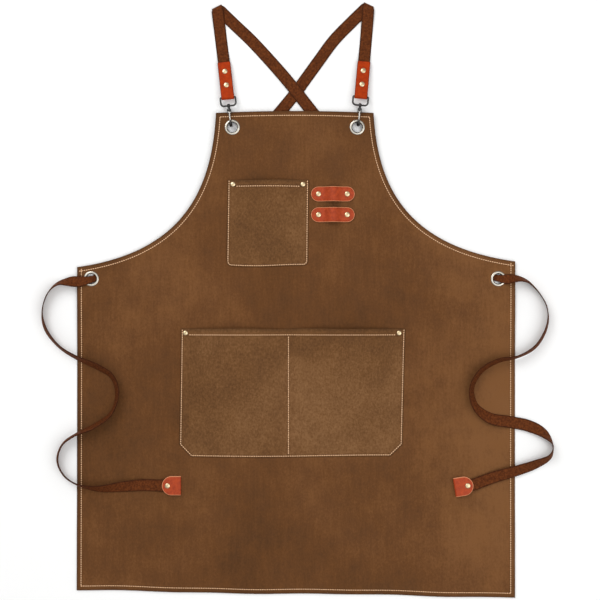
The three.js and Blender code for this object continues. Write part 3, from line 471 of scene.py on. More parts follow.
def folded_path(length, fold, slot, thickness, ease):
    """The middle line of a strip folded round y = 0, from its top end to its lower end."""
    upper = slot + thickness / 2
    round_fold = fold + thickness / 2
    path = [(length - (length - ease) * k / 16, upper) for k in range(16)]
    if ease > 1:
        for k in range(8):
            share = k / 8
            blend = share * share * (3 - 2 * share)
            path.append((ease * (1 - share), upper + (round_fold - upper) * blend))
    for k in range(17):
        angle = math.pi / 2 + math.pi * k / 16
        path.append((round_fold * math.cos(angle), round_fold * math.sin(angle)))
    return path + [(y, -z) for y, z in reversed(path[:-17])]


def round_ended(curve, least):
    """The half-width of a strip with round ends, and the distance from its cut edge. The
    half-width's square is at least a given value, so that the tips stay open."""

    def half_width(run, total):
        near = min(run, total - run)
        if near >= curve:
            return curve
        return math.sqrt(max(curve ** 2 - (curve - near) ** 2, least))

    def to_edge(x, run, total):
        near = min(run, total - run)
        if near >= curve:
            return curve - abs(x)
        return curve - math.hypot(x, curve - near)

    return half_width, to_edge


for side in SIDES:
    frame_of_bar = hook_frame[side] @ Matrix.Translation((0, eye_bar * MM, 0))
    tab_frame[side] = frame_of_bar @ Matrix.Rotation(-tab_pitch, 4, "X")
    corner = 1.6

    def tab_half_width(run, total):
        near = min(run, total - run)
        if near >= corner:
            return tab_width / 2
        return tab_width / 2 - corner + math.sqrt(corner ** 2 - (corner - near) ** 2)

    def tab_edge(x, run, total):
        return min(tab_width / 2 - abs(x), min(run, total - run))

    path = folded_path(tab_length, bar_sleeve, webbing_slot, tab_leather, 7)
    path = [(tab_length, path[0][1]), (tab_length - 0.3, path[0][1]),
            (tab_length - 0.8, path[0][1])] + path[1:-1] + [
            (tab_length - 0.8, path[-1][1]), (tab_length - 0.3, path[-1][1]),
            (tab_length, path[-1][1])]
    shape, edge = leather_strip(path, tab_half_width, tab_leather, tab_edge)
    tab = new_piece(f"shoulder_tab_{side}", *moved(shape, tab_frame[side] @ in_metres),
                    burnt_leather, "apron", "leather", [f"strap_tab_{side}"])
    mark(tab, "edge", edge)

    (fold_x, fold_y), heading = end_fold[side]
    end_frame[side] = (Matrix.Translation((fold_x * MM, fold_y * MM, end_height * MM))
                       @ Matrix.Rotation(math.radians(heading + 90), 4, "Z"))
    curve = end_width / 2
    reach = end_length - 0.5
    bend = folded_path(reach, webbing_slot, webbing_slot, end_leather, 0.01)[16:33]
    level = bend[0][1]
    rounding = [reach - curve + curve * math.cos(math.pi / 2 * k / 18) for k in range(19)]
    straight = [(reach - curve) * (1 - k / 6) for k in range(1, 6)]
    path = ([(y, level) for y in rounding + straight] + bend
            + [(y, -level) for y in reversed(rounding + straight)])
    half_width, to_edge = round_ended(curve, 0.5)
    shape, edge = leather_strip(path, half_width, end_leather, to_edge)
    cap = new_piece(f"tie_end_cap_{side}", *moved(shape, end_frame[side] @ in_metres),
                    tan_leather, "apron", "leather", [f"tie_end_tab_{side}"])
    mark(cap, "edge", edge)
    tab_pieces[side] += [tab, cap]

# ---------------------------------------------------------------- tab rivets
# Tubular rivets with domed caps of pale brass go through both layers of each tab and the
# webbing between them, and are set over a flat foot behind.
brass = metal("pale_brass", (0.62, 0.49, 0.30), 0.28, 0.04, (0.86, 0.76, 0.56))
# The cap's radius and height, the foot's radius and the shaft's radius.
large_rivet = (4.1, 1.3, 3.2, 1.3)


def tubular_rivet(cap, cap_height, foot, shaft, low, high):
    """A rivet through layers between two heights: flat foot, rolled cap edge, and a low dome
    with the setting tool's dimple."""
    top = high + 0.3 + cap_height
    dome = [(cap * math.cos(angle), high + 0.62 + (top - high - 0.62) * math.sin(angle))
            for angle in (math.radians(10 * k) for k in range(8))]
    return turned([
        (0, low - 0.9), (foot - 0.3, low - 0.9), (foot, low - 0.65), (foot, low - 0.3),
        (foot - 0.3, low - 0.05), (shaft, low - 0.05), (shaft, high + 0.05),
        (cap - 0.35, high + 0.05), (cap - 0.05, high + 0.2), (cap, high + 0.42),
        *dome, (0.95, top - 0.04), (0.6, top - 0.38), (0, top - 0.44)], 28)


for side in SIDES:
    for row, y in zip(("lower", "upper"), tab_rivets):
        shape = tubular_rivet(*large_rivet, -tab_half, tab_half)
        at = tab_frame[side] @ in_metres @ Matrix.Translation((0, y, 0))
        tab_pieces[side].append(new_piece(
            f"{row}_tab_rivet_{side}_set", *moved(shape, at), brass, "apron", "rivet",
            [f"{row}_tab_rivet_{side}"]))
    shape = tubular_rivet(*large_rivet, -end_half, end_half)
    at = end_frame[side] @ in_metres @ Matrix.Translation((0, end_rivet, 0))
    tab_pieces[side].append(new_piece(
        f"tie_end_rivet_{side}_set", *moved(shape, at), brass, "apron", "rivet",
        [f"tie_end_rivet_{side}"]))

# ---------------------------------------------------------------- webbing straps
# Each strap is one length of brown cotton webbing, woven as a narrow band with firm edges. It
# leaves its leather tab, folds flat at the shoulder, crosses the other strap behind the bib,
# comes out through the opposite waist eyelet, and ends as that side's waist tie.
webbing_width = 19
shoulder_radius = 1.1
skew_run = 9
webbing_start = 9
end_webbing = 3.5
# A route's points are x, y, height of what the webbing lies on, roll in degrees, and then
# width and thickness where it is gathered.
strap_route = {
    "left": {
        "fold": (-123.4, 548.5),
        "rise": [(-117.8, 503, 0), (-115, 480, 0)],
        "fall": [
            (-97, 523, 0, 180), (-69.6, 497, 0, 180), (-38, 463, 0.3, 180),
            (-15, 436.5, 1.7, 180), (2.6, 415, 2.0, 180), (19, 394, 1.7, 180),
            (40, 368, 0.3, 180), (84, 316, 0, 180), (122, 266, 0, 180), (160, 217, 0, 180),
            (205, 172, 0, 180), (250, 145.5, 0, 180), (280, 135.5, 0, 180),
            (294, 132.5, 0, 180, 17, 1.5), (306, 125.5, 0, 180, 13.5, 1.6),
            (318, 120.2, 0, 180, 11, 1.6), (323.5, 118.7, 3.5, 180, 11, 1.6),
            (329.5, 117.6, 6.9, 180, 12.5, 1.6), (337, 117.3, 7.1, 194, 16, 1.5),
            (346, 118, 6.4, 223, 17.5, 1.5), (358, 117.6, 4.6, 246),
            (369, 113.5, 1.6, 256), (379, 105, 0, 260), (390, 91.5, 0, 262), (399, 74, 0, 262),
            (401, 51, 0, 255), (393, 27, 0, 250), (379, 8.5, 0.6, 250), (353, -5.5, 2.7, 255),
            (321.5, -12, 2.4, 245), (294, -29, 2.0, 240), (280, -56, 1.8, 240),
            (286, -84, 1.6, 232), (309, -103, 1.7, 205), (346, -110, 2.5, 183),
            (371, -115.5, 1.8, 190), (394.5, -127, 0, 220), (409, -146, 0, 262),
            (404, -164, 0, 240), (382, -176, 1.4, 215), (353, -186, 2.6, 200),
            (316, -197, 2.4, 186), (294, -205, 3.2, 180),
        ],
    },
    "right": {
        "fold": (117.3, 552),
        "rise": [(113.6, 503, 0), (111.8, 482, 0)],
        "fall": [
            (90, 525.5, 0, 180), (62.4, 497, 0, 180), (38, 464, 0, 180), (16.3, 434, 0, 180),
            (2.6, 415, 0, 180), (-17.9, 389.6, 0, 180), (-40, 364, 0, 180),
            (-84, 314, 0, 180), (-122, 265, 0, 180), (-160, 216, 0, 180),
            (-205, 171, 0, 180), (-250, 144.5, 0, 180), (-280, 134.5, 0, 180),
            (-294, 131.5, 0, 180, 17, 1.5), (-306, 124.5, 0, 180, 13.5, 1.6),
            (-318, 118.8, 0, 180, 11, 1.6), (-323.5, 116.8, 3.5, 180, 11, 1.6),
            (-329.5, 115.4, 6.9, 180, 12.5, 1.6), (-337, 114.2, 7.1, 179, 16, 1.5),
            (-346, 113.5, 6.4, 170, 17.5, 1.5), (-359, 113.2, 4.2, 136),
            (-371, 112, 1.4, 112), (-382.5, 105.5, 0, 103), (-393, 92, 0, 98),
            (-400, 66, 0, 102), (-394.5, 38, 0, 112), (-373, 10.5, 0.4, 108),
            (-346.3, -6.4, 2.7, 112), (-312, -21.5, 2.3, 122), (-289.5, -36.5, 2.0, 118),
            (-281, -62, 1.8, 115), (-290.5, -95, 1.7, 108), (-317.7, -115.6, 1.8, 112),
            (-346.3, -128.5, 2.5, 100), (-368, -144.5, 0.6, 100), (-376, -169.5, 0, 106),
            (-367, -192, 0.6, 106), (-346.3, -207, 2.5, 104), (-312, -214.5, 1.9, 125),
            (-278, -212, 1.8, 152), (-244, -209.5, 2.2, 172), (-226, -209.8, 3.1, 180),
        ],
    },
}
UP = Vector((0, 0, 1))


def through(points, t):
    """A centripetal Catmull-Rom curve through points, at t from 0 to 1."""
    last = len(points) - 1
    place = last * t
    i = min(int(place), last - 1)
    share = place - i
    p1, p2 = points[i], points[i + 1]
    p0 = points[i - 1] if i else 2 * p1 - p2
    p3 = points[i + 2] if i + 2 <= last else 2 * p2 - p1
    d0, d1, d2 = ((b - a).length ** 0.5 for a, b in ((p0, p1), (p1, p2), (p2, p3)))
    d1 = d1 if d1 > 1e-4 else 1
    d0 = d0 if d0 > 1e-4 else d1
    d2 = d2 if d2 > 1e-4 else d1
    leave = ((p1 - p0) / d0 - (p2 - p0) / (d0 + d1) + (p2 - p1) / d1) * d1
    reach = ((p2 - p1) / d1 - (p3 - p1) / (d1 + d2) + (p3 - p2) / d2) * d1
    return (p1 + leave * share + (3 * (p2 - p1) - 2 * leave - reach) * share ** 2
            + (2 * (p1 - p2) + leave + reach) * share ** 3)


def webbing_stations(points, per_point):
    """Centre, half-width vector and half-thickness vector of webbing along a route."""
    points = [(*p, *(0, webbing_width, webbing_thickness)[len(p) - 3:]) for p in points]
    ground = [Vector(p[:3]) for p in points]
    section = [Vector(p[3:6]) for p in points]

    def centre(t):
        roll, width, thickness = through(section, t)
        roll = math.radians(roll)
        stand = (width * abs(math.sin(roll)) + thickness * abs(math.cos(roll))) / 2
        x, y, base = through(ground, t)
        return Vector((x, y, max(base, 0) + stand))

    count = (len(points) - 1) * per_point
    small = 0.01 / len(points)
    found = []
    for i in range(count + 1):
        t = i / count
        roll, width, thickness = through(section, t)
        roll = math.radians(roll)
        along = (centre(min(t + small, 1)) - centre(max(t - small, 0))).normalized()
        level = along.cross(UP).normalized()
        upright_way = level.cross(along).normalized()
        across = level * math.cos(roll) + upright_way * math.sin(roll)
        above = upright_way * math.cos(roll) - level * math.sin(roll)
        found.append((centre(t), across * width / 2, above * thickness / 2))
    return found


def shoulder_fold(arriving, leaving, fold):
    """The flat fold at the shoulder, where the webbing turns over a slanting line."""
    half = webbing_width / 2
    line = (arriving + leaving).normalized()
    to_right = line * (1 if line.dot(arriving.cross(UP)) > 0 else -1)
    edge = to_right * half / abs(line.cross(arriving).z)
    middle = Vector((*fold, webbing_thickness / 2 + shoulder_radius))
    outward = UP.cross(to_right)
    rounded = 0.86

    def skewed(run, level, sign):
        square = run.cross(UP) * sign * half
        rows = []
        for share in (0.84, 0.66, 0.5, 0.33, 0.16):
            at = middle - run * sign * skew_run * share
            drawn_in = 1 - (1 - rounded) * (1 - share) ** 3
            rows.append((Vector((at.x, at.y, level)),
                         (square + (edge - square) * (1 - share)) * drawn_in,
                         UP * sign * webbing_thickness / 2))
        return rows

    over = []
    for k in range(17):
        angle = math.pi * k / 16
        above = outward * math.sin(angle) + UP * math.cos(angle)
        over.append((middle + above * shoulder_radius, edge * rounded,
                     above * webbing_thickness / 2))
    before = skewed(arriving, middle.z + shoulder_radius, 1)
    after = skewed(leaving, middle.z - shoulder_radius, -1)
    return before + over + after[::-1]


def strap_stations(side):
    route = strap_route[side]
    fold = Vector((*route["fold"], 0))
    arriving = (fold - Vector((*route["rise"][0][:2], 0))).normalized()
    leaving = (Vector((*route["fall"][0][:2], 0)) - fold).normalized()
    over = webbing_thickness / 2 + 2 * shoulder_radius

    def in_tab(at, distance, roll):
        spot = at @ in_metres @ Vector((0, distance, 0)) / MM
        return (spot.x, spot.y, spot.z - webbing_thickness / 2, roll)

    def beside_fold(run, distance, level, roll):
        spot = fold + run * distance
        return (spot.x, spot.y, level - webbing_thickness / 2, roll)

    up = [in_tab(tab_frame[side], distance, 0)
          for distance in (webbing_start, tab_length / 2, tab_length + 1)]
    up += [(*p, 0) for p in reversed(route["rise"])]
    up += [beside_fold(arriving, -2 * skew_run, over - 0.3, 0),
           beside_fold(arriving, -skew_run, over, 0)]
    down = [beside_fold(leaving, skew_run, webbing_thickness / 2, 180), *route["fall"]]
    down += [in_tab(end_frame[side], distance, 180)
             for distance in (end_length + 1, end_length / 2, end_webbing)]
    return (webbing_stations(up, 10) + shoulder_fold(arriving, leaving, route["fold"])
            + webbing_stations(down, 9))


def webbing_cotton():
    """Tightly woven cotton: raised picks in rows, dyed brown, with painted light on the picks'
    crowns, painted shade between them, and painted shade along the firm edges. The thread
    count follows each strap's own length and width, in metres."""
    material, tree, place = new_material("webbing_cotton")
    weave = shader_node(tree, "Attribute", {}, attribute_name="weave")
    split = shader_node(tree, "SeparateXYZ", {"Vector": weave.outputs["Vector"]})
    run, across = split.outputs["X"], split.outputs["Y"]
    chevron = maths(tree, "MULTIPLY", maths(tree, "ABSOLUTE", across), 0.9)
    picks = maths(tree, "SINE", maths(tree, "MULTIPLY", maths(tree, "ADD", run, chevron),
                                      2 * math.pi / 0.0021))
    ends = maths(tree, "SINE", maths(tree, "MULTIPLY", across, 2 * math.pi / 0.0016))
    relief = maths(tree, "MULTIPLY_ADD", picks, 0.5, maths(tree, "MULTIPLY", ends, 0.3))
    slub = clouded(tree, place, 330, 5)
    # Painted light and shade: the weave's relief lightens the crowns of the picks and darkens the
    # gaps between them, and slub noise varies the dyed brown.
    tone = ramped(tree, maths(tree, "MULTIPLY_ADD", relief, 0.28, slub),
                  (0.25, (0.047, 0.0105, 0.0018)), (0.78, (0.163, 0.043, 0.0090)))
    # Painted shade: the webbing is darkened towards both edges, where it rounds off.
    edge = ranged(tree, maths(tree, "ABSOLUTE", across), (0.0066, 0.0090), (0, 0.62),
                  smooth=True)
    set_shader(tree, {
        "Roughness": 0.82, "Specular IOR Level": 0.12,
        "Base Color": blended(tree, edge, tone, (0.022, 0.0058, 0.0016, 1)),
        "Normal": bumped(tree, maths(tree, "MULTIPLY_ADD", slub, 0.6, relief), 0.55, 0.00022)})
    return material


cotton = webbing_cotton()
half_section = [(-1, 0), (-0.975, 0.5), (-0.93, 0.86), (-0.86, 1), (-0.6, 0.93), (-0.3, 0.97),
                (0, 1), (0.3, 0.97), (0.6, 0.93), (0.86, 1), (0.93, 0.86), (0.975, 0.5), (1, 0)]
section = half_section + [(a, -b) for a, b in reversed(half_section[1:-1])]
for side in SIDES:
    stations = strap_stations(side)
    vertices, weave = [], []
    run = 0.0
    for i, (centre, across, above) in enumerate(stations):
        if i:
            run += (centre - stations[i - 1][0]).length
        for a, b in section:
            vertices.append((centre + across * a + above * b) * MM)
            weave.append((run * MM, a * webbing_width / 2 * MM, 0))
    strap = new_piece(f"webbing_strap_{side}", vertices,
                      tube_faces(len(stations), len(section)), cotton, "apron", "webbing",
                      [f"strap_{side}"])
    attribute = strap.data.attributes.new("weave", "FLOAT_VECTOR", "POINT")
    attribute.data.foreach_set("vector", np.array(weave, np.float32).ravel())
    centreline = [centre * MM for centre, _, _ in stations]
    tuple(centreline[0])

# ---------------------------------------------------------------- apron panel
# The body of the apron is one piece of waxed cotton canvas, cut to a bib and a skirt. Its
# edges are turned over to the back and held by one row of pale top stitching. It lies over
# the straps and the hooks' rear arms at the bib, and flat on the table below the waist.
cloth = 1.2
panel_width = 700
panel_height = 765
bib_width = 250
waist_drop = 241.5
armhole_top = (6, 120.5)
armhole_waist = (170, 24)
seam_inset = 7
hem_width = 10.5
top = panel_height / 2
bottom = -panel_height / 2
waist = top - waist_drop
bib_arch = 3.0
bottom_slope = 11 / panel_width
hole_points = 36
thread_sides = 7
waist_corner = {-1: (345.5, waist - 4.5), 1: (350, waist + 4.5)}


def eased(value, low, high):
    share = np.clip((np.asarray(value, float) - low) / (high - low), 0, 1)
    return share * share * (3 - 2 * share)


def lie(x, y):
    """How far the cloth stands off its even lie: broad soft swells and small creases, which
    die away where straps cross it or hardware holds it."""
    x, y = np.broadcast_arrays(np.asarray(x, float), np.asarray(y, float))
    free = 1 - eased(np.abs(x), 222, 262) * eased(y, -290, -245)
    free = free * (1 - eased(y, 262, 330))
    swell = [0.5 + 0.5 * noise.noise(Vector((a / 105, b / 150, 2.3)))
             + 0.20 * (0.5 + 0.5 * noise.noise(Vector((a / 27, b / 38, 7.7))))
             for a, b in zip(x.ravel(), y.ravel())]
    return 1.7 * free * np.array(swell).reshape(x.shape)


def cloth_under(x, y):
    """The height that the canvas lies at: over the straps and the hooks towards the bib."""
    return 3.6 * eased(y, -30, 100) + 3.2 * eased(y, 150, 340) + lie(x, y)


def cloth_over(x, y):
    return cloth_under(x, y) + cloth


def spaced(points, step):
    """Points along a line at about one step apart, with its corners kept."""
    found = []
    for a, b in zip(points, points[1:]):
        pieces = max(1, round(math.dist(a, b) / step))
        found += [(a[0] + (b[0] - a[0]) * k / pieces, a[1] + (b[1] - a[1]) * k / pieces)
                  for k in range(pieces)]
    return found + [tuple(points[-1])]


def armhole(sign):
    """The curved edge from the bib's corner down to the waist's corner."""
    bib = Vector((bib_width / 2, top - 1.6))
    corner = Vector(waist_corner[sign])
    handles = (bib, bib + Vector((armhole_top[0], -armhole_top[1])),
               corner + Vector((-armhole_waist[0], armhole_waist[1])), corner)
    line = []
    for k in range(61):
        t = k / 60
        p = (handles[0] * (1 - t) ** 3 + handles[1] * 3 * t * (1 - t) ** 2
             + handles[2] * 3 * t * t * (1 - t) + handles[3] * t ** 3)
        line.append((sign * p.x, p.y))
    return line


def hem_bottom(x):
    return bottom - x * bottom_slope + 0.9 * math.sin(x / 61) + 0.5 * math.sin(x / 23 + 1)


half_bib = bib_width / 2
half_skirt = panel_width / 2
bib_edge = [(x, top - 1.6 + bib_arch * (1 - (x / half_bib) ** 2))
            for x in np.linspace(-half_bib, half_bib, 40)]
left_hem = -half_skirt + 3.5
skirt_edge = [(x, hem_bottom(x)) for x in np.linspace(half_skirt, left_hem, 120)]
right_side = [waist_corner[1], (half_skirt, hem_bottom(half_skirt))]
left_side = [(left_hem, hem_bottom(left_hem)), (-waist_corner[-1][0], waist_corner[-1][1])]
panel_edges = [bib_edge, armhole(1), right_side, skirt_edge, left_side, armhole(-1)[::-1]]


def closed_outline(edges, step):
    return [p for edge in edges for p in spaced(edge, step)[:-1]]


def set_in(edge, step, inset):
    """Points at about one step apart, on a line that runs a little inside an edge."""
    line = np.array(spaced(edge, step))
    run = np.gradient(line, axis=0)
    run /= np.linalg.norm(run, axis=1)[:, None]
    return line + np.stack([run[:, 1], -run[:, 0]], 1) * inset


def inside_of(outline, x, y):
    """How far each point lies inside a closed outline, in mm: less than 0 is outside."""
    a = np.array(outline)
    b = np.roll(a, -1, 0)
    run = b - a
    result = np.empty(len(x))
    for i, (px, py) in enumerate(zip(x, y)):
        share = ((px - a[:, 0]) * run[:, 0] + (py - a[:, 1]) * run[:, 1]) / (run ** 2).sum(1)
        share = np.clip(share, 0, 1)
        away = np.hypot(a[:, 0] + run[:, 0] * share - px, a[:, 1] + run[:, 1] * share - py).min()
        crossing = (a[:, 1] > py) != (b[:, 1] > py)
        meets = a[crossing, 0] + (py - a[crossing, 1]) * run[crossing, 0] / run[crossing, 1]
        result[i] = away if (meets > px).sum() % 2 else -away
    return result


def inset_points(outline, inset):
    """The outline moved inwards, without the points that a corner leaves over."""
    ring = np.array(outline)
    before = ring - np.roll(ring, 1, 0)
    after = np.roll(ring, -1, 0) - ring
    along = (before / np.linalg.norm(before, axis=1)[:, None]
             + after / np.linalg.norm(after, axis=1)[:, None])
    along /= np.linalg.norm(along, axis=1)[:, None]
    moved_in = ring + np.stack([along[:, 1], -along[:, 0]], 1) * inset
    away = inside_of(outline, moved_in[:, 0], moved_in[:, 1])
    return moved_in[np.abs(away - inset) < 0.02 + 0.04 * inset]


def sewn_sheet(edges, step, insets, holes, spacing, over, under, edge_radius):
    """A closed sheet of cloth inside edges given clockwise, with rings of vertices for its
    hem and stitching, round holes, and a heightfield above and below. It gives the mesh and
    each vertex's distance from the edge."""
    outline = closed_outline(edges, step)
    points = [tuple(p) for p in outline]
    fixed = [(i, (i + 1) % len(points)) for i in range(len(points))]
    turns = [2 * math.pi * k / hole_points for k in range(hole_points)]
    for x, y, radii in holes:
        first = len(points)
        for radius in radii:
            points += [(x + radius * math.cos(a), y + radius * math.sin(a)) for a in turns]
        fixed += [(first + k, first + (k + 1) % hole_points) for k in range(hole_points)]
    for inset in insets:
        points += [tuple(p) for p in inset_points(outline, inset)
                   if all(math.dist(p, h[:2]) > h[2][-1] + 0.8 for h in holes)]
    low, high = np.min(outline, 0), np.max(outline, 0)
    grid = []
    for row, y in enumerate(np.arange(low[1], high[1], spacing * 0.87)):
        grid += [(x, y) for x in np.arange(low[0] + (row % 2) * spacing / 2, high[0], spacing)]
    grid = np.array(grid)
    room = inside_of(outline, grid[:, 0], grid[:, 1])
    grid = grid[room > insets[-1] + spacing * 0.4]
    points += [tuple(p) for p in grid
               if all(math.dist(p, h[:2]) > h[2][-1] + spacing * 0.4 for h in holes)]
    found, _, triangles, *_ = delaunay_2d_cdt([Vector(p) for p in points], fixed, [], 0, 1e-5)
    x = np.array([p.x for p in found])
    y = np.array([p.y for p in found])
    centres = np.array([[x[list(t)].mean(), y[list(t)].mean()] for t in triangles])
    kept = inside_of(outline, centres[:, 0], centres[:, 1]) > 0
    for hx, hy, radii in holes:
        kept &= np.hypot(centres[:, 0] - hx, centres[:, 1] - hy) > radii[0] * 0.99
    triangles = [t for t, keep in zip(triangles, kept) if keep]
    inset = np.maximum(inside_of(outline, x, y), 0)
    for hx, hy, radii in holes:
        near = np.hypot(x - hx, y - hy)
        inset = np.where(near < radii[-1] + 2, np.minimum(inset, near - radii[0] + 30), inset)
    edge_of = {}
    for t in triangles:
        for a, b in zip(t, t[1:] + t[:1]):
            edge_of[(a, b)] = (b, a)
    rim = {a for (a, b) in edge_of if (b, a) not in edge_of}
    rim |= {b for (a, b) in edge_of if (b, a) not in edge_of}
    high, low = over(x, y, inset), under(x, y, inset)
    middle = (high + low) / 2
    part = np.sqrt(1 - (1 - np.clip(inset / edge_radius, 0, 1)) ** 2)
    high = middle + (high - middle) * part
    low = middle + (low - middle) * part
    vertices = [(a, b, middle[i] if i in rim else high[i])
                for i, (a, b) in enumerate(zip(x, y))]
    below = {}
    for t in triangles:
        for v in t:
            if v not in below:
                below[v] = v if v in rim else len(vertices)
                if v not in rim:
                    vertices.append((x[v], y[v], low[v]))
    faces = [list(t) for t in triangles] + [[below[v] for v in reversed(t)] for t in triangles]
    used = sorted({v for face in faces for v in face})
    order = {v: i for i, v in enumerate(used)}
    distance = {below[v]: inset[v] for v in below}
    distances = [distance.get(v, inset[v] if v < len(inset) else 0) for v in used]
    vertices = [vertices[v] for v in used]
    return (vertices, [[order[v] for v in face] for face in faces]), distances


def stitch_row(line, height, pitch=3.6, length=3.0, radius=0.74):
    """Lock stitches along a line: each one rises out of the cloth and dives back into it."""
    lengths = [0.0]
    for a, b in zip(line, line[1:]):
        lengths.append(lengths[-1] + math.dist(a, b))
    count = int(lengths[-1] // pitch)
    offset = (lengths[-1] - (count - 1) * pitch - length) / 2
    xs, ys = [p[0] for p in line], [p[1] for p in line]
    parts = []
    profile = [(0.0, 0.4, -0.45), (0.12, 0.85, -0.05), (0.32, 1.0, 0.15), (0.68, 1.0, 0.15),
               (0.88, 0.85, -0.05), (1.0, 0.4, -0.45)]
    at = np.array([[offset + k * pitch + share * length for share, _, _ in profile]
                   for k in range(count)])
    x, y = np.interp(at, lengths, xs), np.interp(at, lengths, ys)
    z = height(x, y)
    for k in range(count):
        run = Vector((x[k, -1] - x[k, 0], y[k, -1] - y[k, 0], 0)).normalized()
        across = Vector((run.y, -run.x, 0))
        vertices = []
        for i, (_, share, rise) in enumerate(profile):
            centre = Vector((x[k, i], y[k, i], z[k, i] + rise))
            for s in range(thread_sides):
                angle = 2 * math.pi * s / thread_sides
                vertices.append(centre + (across * math.cos(angle)
                                          + UP * math.sin(angle) * 0.8) * radius * share)
        parts.append((vertices, tube_faces(len(profile), thread_sides, flipped=True)))
    return joined(parts)


def waxed_canvas(name, tones, streak, worn, paling):
    """Waxed canvas: a fine plain weave under wax that has broken up into clouds and rubbed
    patches, with faint streaks down the warp, paler towards the right side. Its `inset`
    values darken the cut edge, and its `seam` values paint shade into the groove that stitching
    pulls in."""
    material, tree, place = new_material(name)

    def cloud(scale, detail, stretch=(1, 1, 1), roughness=0.55):
        turn = shader_node(tree, "Mapping", {"Vector": place, "Scale": stretch})
        return clouded(tree, turn.outputs["Vector"], scale, detail, roughness)

    def yarns(spot):
        return maths(tree, "SINE", maths(tree, "MULTIPLY", spot, 2 * math.pi / 0.0011))

    broad = cloud(4.2, 3)
    patches = cloud(26, 7, roughness=0.66)
    streaks = cloud(230, 3, (1, 0.12, 1))
    grain = cloud(360, 5, (1, 0.7, 1), 0.75)
    mixed = maths(tree, "MULTIPLY_ADD", patches, 0.55, maths(tree, "MULTIPLY", broad, 0.95))
    mixed = maths(tree, "MULTIPLY_ADD", streaks, streak, mixed)
    mixed = maths(tree, "MULTIPLY_ADD", grain, worn, mixed)
    middle = 0.5 * (0.55 + 0.95 + streak + worn)
    spot = shader_node(tree, "SeparateXYZ", {"Vector": place})
    # The canvas is made paler towards the right side.
    right_paling = ranged(tree, spot.outputs["X"], (0.13, 0.29), (0.5, 0.5 + paling), smooth=True)
    share = maths(tree, "ADD", maths(tree, "SUBTRACT", mixed, middle), right_paling)
    wax = ramped(tree, share, *zip((0.22, 0.5, 0.80), tones))
    # Painted shade: the canvas darkens in the groove that each row of stitches pulls in.
    seam = maths(tree, "MULTIPLY", kept_value(tree, "seam"), 0.7)
    groove_shaded = blended(tree, seam, wax, (*(c * 0.45 for c in tones[0]), 1))
    band = ranged(tree, kept_value(tree, "inset"), (0.0, 0.0062), (0.42, 0.0), smooth=True)
    weave = maths(tree, "MULTIPLY", yarns(spot.outputs["X"]), yarns(spot.outputs["Y"]))
    relief = maths(tree, "MULTIPLY_ADD", weave, 0.16, maths(tree, "MULTIPLY", grain, 0.5))
    relief = maths(tree, "MULTIPLY_ADD", patches, 0.8, relief)
    set_shader(tree, {
        "Specular IOR Level": 0.12,
        "Base Color": blended(tree, band, groove_shaded, (*(c * 0.42 for c in tones[0]), 1)),
        "Roughness": ranged(tree, patches, (0.25, 0.75), (0.58, 0.86)),
        "Normal": bumped(tree, relief, 0.4, 0.00035)})
    return material


def mark_cloth(piece, distances, seam):
    """Each vertex's distance from the cut edge, and how near it is to a row of stitches: the
    canvas is painted darker there, as shade in the stitches' groove.
    """
    mark(piece, "inset", np.array(distances, np.float32) * MM)
    spots = np.empty(len(piece.data.vertices) * 3, np.float32)
    piece.data.vertices.foreach_get("co", spots)
    x, y, _ = spots.reshape(-1, 3).T / MM
    mark(piece, "seam", seam(x, y, np.array(distances)))


def thread_material():
    """Pale waxed polyester thread, twisted from strands, with a slight sheen."""
    material, tree, place = new_material("pale_thread")
    strands = clouded(tree, place, 900, 3)
    set_shader(tree, {
        "Roughness": 0.55, "Sheen Weight": 0.15,
        "Base Color": ramped(tree, strands, (0.3, (0.62, 0.35, 0.175)),
                             (0.68, (0.90, 0.56, 0.32))),
        "Normal": bumped(tree, strands, 0.4, 0.00012)})
    return material


canvas = waxed_canvas("waxed_canvas", ((0.082, 0.032, 0.0085), (0.122, 0.047, 0.0132),
                                       (0.184, 0.077, 0.0250)), 0.26, 0.6, 0.16)
thread = thread_material()
eyelet_hole = 8
eyelet_flange = 12
eyelets = {
    "bib_eyelet_left": (-99, top - 24.5), "bib_eyelet_right": (99, top - 24.5),
    "waist_eyelet_left": (-323, waist - 23), "waist_eyelet_right": (323, waist - 23),
}


def hem_groove(x, y, inset):
    return np.exp(-((inset - seam_inset) / 1.0) ** 2)


def panel_over(x, y, inset):
    hem = 0.3 * (1 - eased(inset, hem_width - 0.9, hem_width))
    return cloth_over(x, y) + hem - 0.5 * hem_groove(x, y, inset)


def panel_under(x, y, inset):
    return cloth_under(x, y) + 0.4 * eased(inset, hem_width - 0.9, hem_width)


shape, distances = sewn_sheet(
    panel_edges, step=4.2, insets=[0.25, 0.8, 3.2, 5.2, 6.2, 7, 7.8, 8.8, 9.6, 10.5],
    holes=[(x, y, (8.8, 9.6, 12.4, 14.2)) for x, y in eyelets.values()], spacing=6.6,
    over=panel_over, under=panel_under, edge_radius=0.8)
panel = new_piece("canvas_panel", *moved(shape, in_metres), canvas, "apron",
                  "canvas", ["apron_panel"])
mark_cloth(panel, distances, hem_groove)

fine_outline = closed_outline(panel_edges, 4.0)
hem_lines = []
for edge in panel_edges:
    line = set_in(edge, 1.0, seam_inset)
    away = inside_of(fine_outline, line[:, 0], line[:, 1])
    crosses_waist = (np.abs(line[:, 1] - waist) < 16) & (np.abs(line[:, 0]) > half_skirt - 16)
    hem_lines.append(line[(away > seam_inset - 1.3) | ((away > 1.2) & crosses_waist)])
hem_stitches = joined([
    stitch_row([tuple(p) for p in line], lambda x, y: cloth_over(x, y) + 0.1)
    for line in hem_lines])
hem = new_piece("hem_stitches", *moved(hem_stitches, in_metres), thread, "apron",
                "thread", ["hem_thread"])

